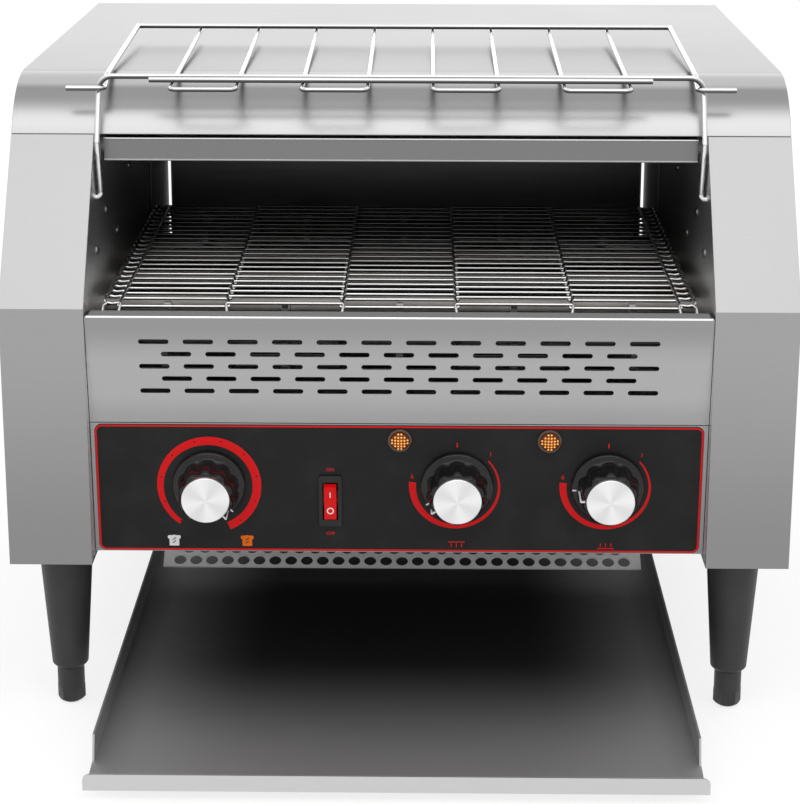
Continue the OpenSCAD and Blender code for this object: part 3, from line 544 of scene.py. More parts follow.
class Outline:
    """Collects faces for one mesh, with an optional placement for what is added."""

    def __init__(self) -> None:
        """Starts empty, at the origin."""
        self.points: list[Vector] = []
        self.faces: list[tuple[int, ...]] = []
        self.at = Matrix.Identity(4)

    def _add(self, points: Iterable[Point]) -> int:
        """Adds placed points and returns the first one's index.

        Args:
            points: Points in the placement's own frame.

        Returns:
            The first point's index.
        """
        first = len(self.points)
        self.points += [self.at @ Vector(p) for p in points]
        return first

    def lathe(self, profile: Sequence[Point], segments: int, radius_at: RadiusRule | None = None) -> None:
        """Turns a profile about +Z.

        Args:
            profile: (radius, height) pairs that start and end on the axis.
            segments: Steps round the axis.
            radius_at: Gives the radius for a radius, height and angle.
        """
        rings = []
        for r, h in profile:
            if r == 0:
                rings.append([self._add([(0, 0, h)])])
                continue
            spots = []
            for a in turns(segments):
                rr = radius_at(r, h, a) if radius_at else r
                spots.append((rr * math.cos(a), rr * math.sin(a), h))
            first = self._add(spots)
            rings.append(list(range(first, first + segments)))
        for low, high in zip(rings, rings[1:]):
            for i in range(segments):
                j = (i + 1) % segments
                quad = (low[i % len(low)], low[j % len(low)], high[j % len(high)], high[i % len(high)])
                face = tuple(dict.fromkeys(quad))
                if len(face) > 2:
                    self.faces.append(face)

    def plate(self, outline: Sequence[Point], low: float, high: float) -> None:
        """Extrudes a flat outline, drawn as [x, y], from low to high along +Z.

        Args:
            outline: Its points.
            low: Height of the lower face.
            high: Height of the upper face.
        """
        n = len(outline)
        a = self._add([(x, y, low) for x, y in outline])
        b = self._add([(x, y, high) for x, y in outline])
        self.faces.append(tuple(range(a + n - 1, a - 1, -1)))
        self.faces.append(tuple(range(b, b + n)))
        for i in range(n):
            j = (i + 1) % n
            self.faces.append((a + i, a + j, b + j, b + i))

    def band(self, inner: Pairs, outer: Pairs, low: float, high: float, closed: bool = False) -> None:
        """A flat strip between two lines of points, with its thickness along +Z.

        Args:
            inner: Points along one side.
            outer: As many points along the other side.
            low: Height of the lower face.
            high: Height of the upper face.
            closed: Whether the ends join.
        """
        n = len(inner)
        corners = ((inner, low), (outer, low), (outer, high), (inner, high))
        rows = [self._add([(x, y, z) for x, y in line]) for line, z in corners]
        steps = n if closed else n - 1
        for i in range(steps):
            j = (i + 1) % n
            for first, second in zip(rows, rows[1:] + rows[:1]):
                self.faces.append((first + i, first + j, second + j, second + i))
        if not closed:
            for i in (0, n - 1):
                self.faces.append(tuple(row + i for row in rows))

    def build(self, name: str, material: bpy.types.Material, smooth_deg: float = 35.0) -> bpy.types.Object:
        """Makes the mesh object.

        Args:
            name: The piece's name.
            material: Its finish.
            smooth_deg: Edges sharper than this stay crisp.

        Returns:
            The object, at the origin.
        """
        mesh = bpy.data.meshes.new(name)
        mesh.from_pydata(self.points, [], self.faces)
        return finish_mesh(mesh, name, material, smooth_deg)


def finish_mesh(mesh: bpy.types.Mesh, name: str, material: bpy.types.Material,
                smooth_deg: float = 35.0) -> bpy.types.Object:
    """Cleans a mesh, turns its faces outwards and links it as an object.

    Args:
        mesh: The mesh to finish.
        name: The piece's name.
        material: Its finish.
        smooth_deg: Edges sharper than this stay crisp.

    Returns:
        The object, at the origin.
    """
    work = bmesh.new()
    work.from_mesh(mesh)
    bmesh.ops.remove_doubles(work, verts=work.verts, dist=1e-6)
    bmesh.ops.recalc_face_normals(work, faces=work.faces)
    work.to_mesh(mesh)
    work.free()
    mesh.materials.clear()
    mesh.materials.append(material)
    made = bpy.data.objects.new(name, mesh)
    bpy.context.scene.collection.objects.link(made)
    shade(made, smooth_deg)
    log.info("made %s: %d faces", name, len(mesh.polygons))
    return made


def shade(piece: bpy.types.Object, smooth_deg: float) -> None:
    """Shades a mesh smooth, apart from edges sharper than an angle.

    Args:
        piece: The mesh object.
        smooth_deg: Edges sharper than this stay crisp.
    """
    mesh = piece.data
    mesh.polygons.foreach_set("use_smooth", [True] * len(mesh.polygons))
    work = bmesh.new()
    work.from_mesh(mesh)
    limit = math.radians(smooth_deg)
    for edge in work.edges:
        edge.smooth = len(edge.link_faces) == 2 and edge.calc_face_angle(0.0) < limit
    work.to_mesh(mesh)
    work.free()


def turns(steps: int) -> list[float]:
    """Angles round a full circle, in radians."""
    return [2 * math.pi * i / steps for i in range(steps)]


def swept(radius_at: Callable[[float], float], start_deg: float, end_deg: float, steps: int) -> Pairs:
    """Points about the origin, with clock angles and a radius for each share of the way round.

    Args:
        radius_at: Gives the radius for a share.
        start_deg: First clock angle.
        end_deg: Last clock angle.
        steps: Steps between them.

    Returns:
        The points.
    """
    out = []
    for i in range(steps + 1):
        a = math.radians(start_deg + (end_deg - start_deg) * i / steps)
        radius = radius_at(i / steps)
        out.append((radius * math.sin(a), radius * math.cos(a)))
    return out


def arc(radius: float, start_deg: float, end_deg: float, steps: int) -> Pairs:
    """Points on a circle, with clock angles: 0 is up and 90 is right."""
    return swept(lambda _: radius, start_deg, end_deg, steps)


def box_mm(left: float, bottom: float, right: float, top: float) -> Pairs:
    """A rectangle's corners, given in millimetres and returned in metres."""
    corners = ((left, bottom), (right, bottom), (right, top), (left, top))
    return [(x * MM, y * MM) for x, y in corners]


def rounded_box(w: float, h: float, r: float, steps: int = 6) -> Pairs:
    """A rectangle about the origin with round corners.

    Args:
        w: Width.
        h: Height.
        r: Radius of the corners.
        steps: Steps round a corner.

    Returns:
        Its points, clockwise.
    """
    out = []
    for cx, cy, start in ((1, 1, 0), (1, -1, 90), (-1, -1, 180), (-1, 1, 270)):
        out += [(cx * (w / 2 - r) + x, cy * (h / 2 - r) + y) for x, y in arc(r, start, start + 90, steps)]
    return out


# ---------------------------------------------------------------- geometry nodes


class Tree(Nodes):
    """A Geometry Nodes group that is built and run once on an object, whose modifier and carrier object are
    then removed.
    """

    def __init__(self, name: str, inputs: Sequence[tuple[str, str, float]]) -> None:
        """Makes the group.

        Args:
            name: The group's name.
            inputs: (name, socket type, value) for each named size.
        """
        super().__init__(bpy.data.node_groups.new(name, "GeometryNodeTree"))
        face = self.tree.interface
        face.new_socket("Geometry", in_out="INPUT", socket_type="NodeSocketGeometry")
        face.new_socket("Geometry", in_out="OUTPUT", socket_type="NodeSocketGeometry")
        self.values = {}
        for label, kind, value in inputs:
            socket = face.new_socket(label, in_out="INPUT", socket_type=kind)
            self.values[socket.identifier] = value
        self.entry = self.tree.nodes.new("NodeGroupInput")
        self.exit = self.tree.nodes.new("NodeGroupOutput")

    def given(self, label: str) -> Link:
        """The group's own input of that name."""
        return Link(self, self.entry.outputs[label])

    def run(self, source: bpy.types.Mesh, name: str, result: Link, material: bpy.types.Material,
            smooth_deg: float) -> bpy.types.Object:
        """Ends the tree, runs it on a mesh and keeps the plain result.

        Args:
            source: The mesh that the tree works on.
            name: The piece's name.
            result: The geometry to keep.
            material: The finish that Set Material gives.
            smooth_deg: Edges sharper than this stay crisp.

        Returns:
            The finished piece.
        """
        real = self.node("GeometryNodeRealizeInstances", None, [result])
        dressed = self.node("GeometryNodeSetMaterial", None, {"Geometry": real, "Material": material})
        self.feed(self.exit.inputs["Geometry"], dressed)
        carrier = bpy.data.objects.new(name + "_source", source)
        bpy.context.scene.collection.objects.link(carrier)
        modifier = carrier.modifiers.new("shape", "NODES")
        modifier.node_group = self.tree
        for identifier, value in self.values.items():
            modifier[identifier] = value
        graph = bpy.context.evaluated_depsgraph_get()
        mesh = bpy.data.meshes.new_from_object(carrier.evaluated_get(graph))
        carrier.modifiers.remove(modifier)
        bpy.data.objects.remove(carrier)
        return finish_mesh(mesh, name, material, smooth_deg)


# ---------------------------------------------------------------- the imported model


@dataclass
class Model:
    """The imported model's nodes and the measures that the dressing needs.

    Attributes:
        nodes: CAD node objects by name.
        body_of: Body that each node rides on.
    """

    nodes: dict[str, bpy.types.Object]
    body_of: dict[str, str]

    @classmethod
    def load(cls) -> "Model":
        """Clears the scene and reads the frame.

        Returns:
            The model.
        """
        for left in list(bpy.data.objects):
            bpy.data.objects.remove(left)
        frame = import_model()
        groups = frame["record"]["behaviour"]["bodies"]
        return cls(frame["nodes"], {n: body for body, members in groups.items() for n in members})

    def span_at_front(self, node: str) -> float:
        """Half the width of a node's foremost face.

        Args:
            node: The node's name.

        Returns:
            The distance from the middle, in metres.
        """
        spots = [v.co for v in self.nodes[node].data.vertices]
        foremost = min(c.y for c in spots)
        return max(c.x for c in spots if c.y < foremost + 0.1 * MM)

    def centre(self, node: str) -> Vector:
        """Middle of a node's box."""
        low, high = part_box(node)
        return (low + high) / 2

    def front(self) -> float:
        """Where the side housings' front faces stand, along Y."""
        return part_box("left_side_cover")[0].y

    def paint(self, material: bpy.types.Material, *names: str) -> None:
        """Gives CAD nodes a finish.

        Args:
            material: The finish.
            names: The nodes.
        """
        for name in names:
            mesh = self.nodes[name].data
            mesh.materials.clear()
            mesh.materials.append(material)
            log.info("painted %s", name)

    def soften(self, material: bpy.types.Material, edge_mm: float, *names: str,
               segments: int = 2) -> list[bpy.types.Object]:
        """Replaces CAD nodes by copies whose folds and edges are slightly rounded.

        Args:
            material: The copies' finish.
            edge_mm: Radius of the rounding.
            names: The nodes.
            segments: Facets across each rounding.

        Returns:
            The copies.
        """
        made = []
        for name in names:
            mesh = self.nodes[name].data.copy()
            work = bmesh.new()
            work.from_mesh(mesh)
            bmesh.ops.remove_doubles(work, verts=work.verts, dist=2e-6)
            bmesh.ops.dissolve_limit(work, angle_limit=math.radians(0.5), verts=work.verts, edges=work.edges)
            work.to_mesh(mesh)
            work.free()
            piece = finish_mesh(mesh, name + "_sheet", material, 30.0)
            bevel = piece.modifiers.new("edge", "BEVEL")
            bevel.width = edge_mm * MM
            bevel.segments = segments
            bevel.limit_method = "ANGLE"
            bevel.angle_limit = math.radians(40)
            bevel.harden_normals = True
            bevel.use_clamp_overlap = True
            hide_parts(name)
            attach(piece, self.body_of[name])
            made.append(piece)
        return made


@dataclass
class PanelPlane:
    """The control panel's printed face: X across, Y up the face and Z out of it.

    Attributes:
        origin: The point from which places on the panel are measured.
        lean: Angle by which the face leans, in radians.
    """

    origin: Vector
    lean: float

    @classmethod
    def read(cls, model: Model) -> "PanelPlane":
        """Finds the plane from the overlay's own faces.

        Args:
            model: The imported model.

        Returns:
            The plane.
        """
        mesh = model.nodes["panel_overlay"].data
        flat = [p for p in mesh.polygons if p.normal.y < -0.9]
        facing = max(flat, key=lambda p: p.area).normal
        lean = math.atan2(-facing.z, -facing.y)
        spot = min((mesh.vertices[i].co for p in flat for i in p.vertices), key=lambda c: c.y)
        return cls(Vector((0.0, spot.y, spot.z)), lean)

    def matrix(self, x: float = 0.0, up: float = 0.0, out: float = 0.0) -> Matrix:
        """Placement of a drawing on the panel, with its own x right, y up and z out."""
        basis = Matrix.Rotation(self.lean, 4, "X") @ Matrix.Rotation(math.pi / 2, 4, "X")
        return Matrix.Translation(self.origin) @ basis @ Matrix.Translation(Vector((x, up, out)))

    def locate(self, place: Vector) -> tuple[float, float]:
        """A point's place on the panel, across and up."""
        flat = self.matrix().inverted() @ place
        return flat.x, flat.y


# ---------------------------------------------------------------- sub-assemblies


@dataclass
class Studio:
    """Floor, lamps, surroundings and camera.

    Attributes:
        eye_mm: The camera's place, from the middle of the housing fronts on the floor.
        pitch_deg: Downward tilt.
        yaw_deg: Turn to the left.
        roll_deg: Roll.
        lens_mm: Focal length for a 36 mm long side.
        rise: Vertical lens shift.
        far: Where the camera stops seeing, in metres.
        ambient: Strength of the surroundings on the object.
        floor_half: Half the floor's side, in metres.
        floor_tints: Greys between which the floor's paint varies.
        floor_lift: Share of the floor that shines towards the background rays.
        floor_glow: Strength of that shine.
    """

    eye_mm: Point = (15.05, -1236.36, 599.96)
    pitch_deg: float = 15.103
    yaw_deg: float = 0.668
    roll_deg: float = -0.109
    lens_mm: float = 98.18
    rise: float = -0.12
    far: float = 50.0
    ambient: float = 0.9
    floor_half: float = 40.0
    floor_tints: tuple[float, float] = (0.73, 0.75)
    floor_lift: float = 0.62
    floor_glow: float = 1.22

    def camera(self, front: float) -> None:
        """Makes the camera and gives it to the scene.

        Args:
            front: Where the side housings' front faces stand, along Y.
        """
        data = bpy.data.cameras.new("camera")
        data.sensor_width = 36.0
        data.lens = self.lens_mm
        data.shift_y = self.rise
        data.clip_end = self.far
        cam = bpy.data.objects.new("camera", data)
        x, y, z = (c * MM for c in self.eye_mm)
        cam.location = (x, y + front, z)
        pitch, yaw, roll = (math.radians(a) for a in (self.pitch_deg, self.yaw_deg, self.roll_deg))
        turn = Matrix.Rotation(yaw, 3, "Z") @ Matrix.Rotation(math.pi / 2 - pitch, 3, "X")
        cam.rotation_euler = (turn @ Matrix.Rotation(-roll, 3, "Z")).to_euler()
        bpy.context.scene.collection.objects.link(cam)
        bpy.context.scene.camera = cam

    @staticmethod
    def background_rays(nodes: Nodes) -> Link:
        """1 for the rays that show the background: straight to the eye, in a gloss or through glass.

        Args:
            nodes: The tree to add to.

        Returns:
            The mask.
        """
        found = nodes.node("ShaderNodeLightPath", out="Is Camera Ray")
        for kind in ("Is Glossy Ray", "Is Transmission Ray"):
            found = found.apply("MAXIMUM", nodes.node("ShaderNodeLightPath", out=kind))
        return found

    def world(self) -> None:
        """Pale surroundings that are white to the eye and softly graded for reflections."""
        world = bpy.data.worlds.new("surroundings")
        bpy.context.scene.world = world
        world.use_nodes = True
        nodes = Nodes(world.node_tree)
        shader = nodes.only("BACKGROUND")
        nodes.feed(shader.inputs["Color"], WHITE)
        nodes.feed(shader.inputs["Strength"], self.ambient)
        white = nodes.node("ShaderNodeBackground", None, {"Color": WHITE, "Strength": 1.0})
        lights = [self.background_rays(nodes), Link(nodes, shader.outputs[0]), white]
        both = nodes.node("ShaderNodeMixShader", None, lights)
        nodes.feed(nodes.only("OUTPUT_WORLD").inputs[0], both)

    def floor(self) -> None:
        """The pale floor, flush under the feet."""
        mesh = bpy.data.meshes.new("floor")
        s = self.floor_half
        mesh.from_pydata([(-s, -s, 0), (s, -s, 0), (s, s, 0), (-s, s, 0)], [], [(0, 1, 2, 3)])
        g = Graph("floor_paint")
        cloud = g.noise(g.place(), 3.0)
        dark, pale = (grey(c) for c in self.floor_tints)
        g.set(Base_Color=g.mix(cloud, dark, pale), Roughness=0.9)
        lift = self.background_rays(g) * self.floor_lift
        glow = g.node("ShaderNodeEmission", None, {"Color": WHITE, "Strength": self.floor_glow})
        both = g.node("ShaderNodeMixShader", None, [lift, Link(g, g.shader.outputs[0]), glow])
        g.feed(g.only("OUTPUT_MATERIAL").inputs[0], both)
        mesh.materials.append(g.material)
        floor = bpy.data.objects.new("floor", mesh)
        bpy.context.scene.collection.objects.link(floor)

    def lamp(self, name: str, place: Point, aim: Point, size: Point, power: float) -> None:
        """One soft area lamp.

        Args:
            name: The lamp's name.
            place: Where it hangs.
            aim: The point it shines at.
            size: Its two sides.
            power: Its power, in watts.
        """
        data = bpy.data.lights.new(name, "AREA")
        data.shape = "RECTANGLE"
        data.size, data.size_y = size
        data.energy = power
        lamp = bpy.data.objects.new(name, data)
        lamp.location = place
        lamp.rotation_euler = (Vector(aim) - Vector(place)).to_track_quat("-Z", "Y").to_euler()
        bpy.context.scene.collection.objects.link(lamp)

    def build(self, model: Model) -> None:
        """Makes the whole studio.

        Args:
            model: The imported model.
        """
        self.camera(model.front())
        self.world()
        self.floor()
        self.lamp("overhead", place=(0, -1.35, 2.2), aim=(0, -0.1, 0.2), size=(2.6, 1.3), power=12.5)
        self.lamp("back_sweep", place=(0, 2.3, 0.95), aim=(0, 0, 0.3), size=(3.4, 1.1), power=9)


@dataclass
class Casing:
    """The stainless casing, the inner walls and what closes them.

    Attributes:
        fold_mm: Radius of a fold in the outer sheets.
        inner_fold_mm: Radius of a fold in the inner sheets.
        hole_edge_mm: Radius of the edges of the perforated slide.
        side_from_mm: Height above the control panel from which painted shade darkens the outer sheets
            downwards.
        side_share: The tint's share that is left at the panel's foot.
        nose: Painted highlight and shade down the cover's rounded nose: two depths below its top, and the
            share beyond.
        brow: Painted shade down the vent panel, in the same way.
        inward_mm: Distances behind the belt's front between which painted shade darkens the inner walls.
        inward_share: The tint's share that is left at the back.
    """

    fold_mm: float = 0.45
    inner_fold_mm: float = 0.3
    hole_edge_mm: float = 0.25
    side_from_mm: float = 60.0
    side_share: float = 0.72
    nose: Sequence[Point] = ((19, 11, 0.7), (7.5, 4.5, 1.7), (0.6, 0.05, 0.54))
    brow: Sequence[Point] = ((30, 5, 0.74), (48, 66, 0.83))
    inward_mm: tuple[float, float] = (20.0, 170.0)
    inward_share: float = 0.28

    @staticmethod
    def _down_from(node: str, steps: Sequence[Point]) -> tuple[Fade, ...]:
        """Fades by height, each from and to a depth below a node's top, with its share."""
        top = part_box(node)[1].z
        return tuple(Fade(2, top - start * MM, top - end * MM, share) for start, end, share in steps)

    def build(self, model: Model) -> None:
        """Dresses every sheet-metal node.

        Args:
            model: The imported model.
        """
        panel_low, panel_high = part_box("control_panel")
        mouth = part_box("belt_upper_run")[0].y
        # Painted shade: the outer sheets darken towards the foot of the control panel.
        down = Fade(2, panel_high.z + self.side_from_mm * MM, panel_low.z, self.side_share)
        # Painted shade: the inner walls darken towards the back of the mouth.
        painted_wall_shade = Fade(1, *(mouth + depth * MM for depth in self.inward_mm), self.inward_share)
        # Painted highlight and shade: bright and dark bands down the cover's rounded nose.
        nose = self._down_from("top_cover", self.nose)
        # Painted shade: the vent panel darkens just under its top edge and towards its foot.
        brow = self._down_from("vent_panel", self.brow)
        outer = BrushedSteel("casing_steel", grey(0.37), fades=(down,)).make()
        wall = BrushedSteel(
            "inner_wall_steel", grey(0.96), grain=Grain.ALONG, depth=0.15, fades=(painted_wall_shade,)).make()
        cover = BrushedSteel("cover_steel", grey(0.44), 0.32, fades=nose).make()
        vent = BrushedSteel("vent_steel", grey(0.43), fades=brow).make()
        # Painted shade: very dark tints for the rear chute and tray rails, the chute guides and the lower
        # reflector, which lie in the shaded inside.
        chute = BrushedSteel("chute_steel", grey(0.20), 0.3).make()
        liner = BrushedSteel("liner_steel", grey(0.12), 0.36, Grain.UPRIGHT).make()
        shaded_reflector = BrushedSteel("shaded_reflector_steel", (0.06, 0.055, 0.05), 0.45).make()
        fascia = BrushedSteel("fascia_steel", grey(0.22)).make()
        # Painted light: a near-white, mostly non-metallic tint makes the perforated slide look lit.
        slide = BrushedSteel("slide_steel", (0.97, 0.98, 0.97), 0.46, depth=0.1, metal=0.12).make()
        for finish, edge_mm, names in (
            (outer, self.fold_mm, ("left_side_cover", "right_side_cover", "control_panel")),
            (vent, self.fold_mm, ("vent_panel",)),
            (cover, self.fold_mm, ("top_cover",)),
            (wall, self.inner_fold_mm, ("left_inner_frame", "right_inner_frame")),
            (fascia, self.fold_mm, ("upper_heater_box",)),
            (chute, self.inner_fold_mm, ("rear_chute", "tray_rails")),
            (liner, self.inner_fold_mm, ("chute_guides",)),
            (shaded_reflector, self.inner_fold_mm, ("lower_reflector",)),
            (outer, self.inner_fold_mm, ("rear_panel",)),
            (slide, self.hole_edge_mm, ("toast_slide",)),
            (wall, self.inner_fold_mm, ("control_housing",)),
        ):
            model.soften(finish, edge_mm, *names)


@dataclass
class Folds:
    """The rolled edges that frame the mouth: the cover's, the heater box's and the vent panel's, the bright
    ones with a painted highlight.

    Attributes:
        bead_mm: Radius of a rolled edge.
        upright_mm: Radius of the rear chute's upright edges.
        hem_mm: Depth and height of the hem along the cover's lower edge.
        hem_start_mm: Height at which the hem leaves the cover's edge.
        hem_half_mm: Half the hem's thickness.
        flange_mm: Depth of the vent panel's upper flange.
        flange_start_mm: Where the flange's face starts, behind the bright edge.
        flange_skin_mm: Thickness of the flange's face, a pale skin that paints the flange as lit.
    """

    bead_mm: float = 0.75
    upright_mm: float = 0.62
    hem_mm: Point = (0.9, 2.4)
    hem_start_mm: float = 0.2
    hem_half_mm: float = 0.35
    flange_mm: float = 12.8
    flange_start_mm: float = 0.8
    flange_skin_mm: float = 0.12

    def build(self, model: Model) -> None:
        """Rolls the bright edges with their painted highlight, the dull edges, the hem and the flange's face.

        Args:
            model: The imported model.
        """
        # Painted highlight: a near-white, mirror-like tint on the rolled edges where the folds catch the
        # light.
        bright = DrawnWire("highlight_edge", grey(0.95), shine=0.1).make()
        dull = DrawnWire("brushed_edge", grey(0.42), shine=0.3).make()
        cover_y, cover_z = self._lower_edge(model, "top_cover")
        box_low, box_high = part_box("upper_heater_box")
        vent_low, vent_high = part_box("vent_panel")
        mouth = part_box("control_housing")[1].x
        front = model.span_at_front("upper_heater_box")
        run, rise = self.hem_mm
        r = self.bead_mm * MM
        ring = [(0.55 * r + y, -0.55 * r + z) for y, z in self._round(r, 20)]
        for name, node, half, y, z, finish in (
            ("cover_edge", "top_cover", mouth, cover_y + run * MM, cover_z + rise * MM + r, bright),
            ("heater_box_edge", "upper_heater_box", front, box_low.y, box_high.z, bright),
            ("heater_box_lip", "upper_heater_box", front, box_low.y, box_low.z + r, dull),
            ("vent_edge", "vent_panel", vent_high.x - 1 * MM, vent_low.y, vent_high.z, bright),
        ):
            self._roll(model, name, node, (y, z), ring, half, finish)
        skin, foot = self.hem_half_mm, self.hem_start_mm
        hem = [(-skin, foot), (run - skin, rise), (run + skin, rise), (skin, foot)]
        section = [(y * MM, z * MM) for y, z in hem]
        self._roll(model, "cover_hem", "top_cover", (cover_y, cover_z), section, mouth, dull)
        self._chute_edges(model, dull)
        # Painted light: a pale, mostly non-metallic skin on the vent panel's flange makes it look lit.
        lit_flange_steel = BrushedSteel("flange_steel", grey(0.30), 0.5, metal=0.2).make()
        face = box_mm(self.flange_start_mm, 0.0, self.flange_mm, self.flange_skin_mm)
        edge = (vent_low.y, vent_high.z)
        self._roll(model, "vent_flange_face", "vent_panel", edge, face, vent_high.x - 2 * MM, lit_flange_steel)

    def _chute_edges(self, model: Model, finish: bpy.types.Material) -> None:
        """Rolls the upright edges of the rear chute's upper part, beside the air gaps.

        Args:
            model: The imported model.
            finish: The edges' finish.
        """
        spots = [v.co for v in model.nodes["rear_chute"].data.vertices]
        top = max(c.z for c in spots)
        crest = [c for c in spots if c.z > top - 0.1 * MM]
        half, y = max(c.x for c in crest), sum(c.y for c in crest) / len(crest)
        foot = min(c.z for c in spots if abs(abs(c.x) - half) < 0.05 * MM)
        for side, name in ((-1, "chute_edge_left"), (1, "chute_edge_right")):
            bead = Outline()
            bead.at = Matrix.Translation((side * (half + 0.6 * MM), y, 0.0))
            bead.plate(self._round(self.upright_mm * MM, 12), foot, top)
            piece = bead.build(name, finish, 40.0)
            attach(piece, model.body_of["rear_chute"])

    @staticmethod
    def _roll(model: Model, name: str, node: str, at: Point, section: Pairs, half: float,
              finish: bpy.types.Material) -> None:
        """Runs a section, drawn as (y, z) from a point, across the mouth and fixes it to a node's body.

        Args:
            model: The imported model.
            name: The piece's name.
            node: The node whose body it rides on.
            at: The point, as (y, z).
            section: The section's points.
            half: Half its width across.
            finish: Its finish.
        """
        strip = Outline()
        strip.at = Matrix(((0, 0, 1, 0), (1, 0, 0, at[0]), (0, 1, 0, at[1]), (0, 0, 0, 1)))
        strip.plate(section, -half, half)
        piece = strip.build(name, finish, 40.0)
        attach(piece, model.body_of[node])

    @staticmethod
    def _round(radius: float, steps: int) -> Pairs:
        """A circle about the origin."""
        return [(radius * math.cos(a), radius * math.sin(a)) for a in turns(steps)]

    @staticmethod
    def _lower_edge(model: Model, node: str) -> tuple[float, float]:
        """The foremost point of a node's lowest edge, as (y, z).

        Args:
            model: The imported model.
            node: The node's name.

        Returns:
            The point.
        """
        spots = [v.co for v in model.nodes[node].data.vertices]
        level = min(c.z for c in spots)
        return min(c.y for c in spots if abs(c.z - level) < 0.1 * MM), level


@dataclass
class Tray:
    """The pull-out toast tray with its pale folded lip.

    Attributes:
        edge_mm: Radius of the tray's edges.
        tints: Greys between which the sheet's grain varies.
        lip_tint: Grey of the folded lip.
        lip_mm: Depth behind the lip's face over which its tint gives way.
        shade_depth_mm: Depth behind the lip over which painted shade darkens the floor.
        shade_share: The tint's share that the painted shade leaves at the back.
    """

    edge_mm: float = 0.4
    tints: tuple[float, float] = (0.46, 0.59)
    lip_tint: float = 0.64
    lip_mm: tuple[float, float] = (1.3, 2.2)
    shade_depth_mm: tuple[float, float] = (20.0, 165.0)
    shade_share: float = 0.12

    def build(self, model: Model) -> None:
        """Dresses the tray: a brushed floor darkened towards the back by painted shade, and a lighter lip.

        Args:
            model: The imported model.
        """
        g = Graph("tray_steel")
        lines = g.noise(g.place((2.0, 260.0, 260.0)), 8.0, 4.0, 0.6)
        cloud = g.noise(g.place(), 6.0, 2.0)
        low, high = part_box("toast_tray")
        zones = (self.lip_mm, self.shade_depth_mm)
        # Painted shade: the floor darkens towards the back, less at the sides.
        lip, floor = (g.axis(1).smooth(*(low.y + y * MM for y in zone)) for zone in zones)
        side = g.axis(0).apply("ABSOLUTE").smooth(0.45 * high.x, high.x)
        unshaded = 1 - floor * (1 - side * 0.5)
        dark, light = (grey(c) for c in self.tints)
        body = g.mix(lines * 0.6 + cloud * 0.4, dark, light)
        dimmed = g.scale(body, unshaded * (1.0 - self.shade_share) + self.shade_share)
        g.set(Base_Color=g.mix(1 - lip, dimmed, grey(self.lip_tint)), Metallic=1.0)
        g.set(Specular_Tint=(0.3, 0.3, 0.3, 1.0))
        g.set(Roughness=lines * 0.14 + 0.44, Normal=g.bump(lines, 0.16, 0.00012))
        model.soften(g.material, self.edge_mm, "toast_tray")


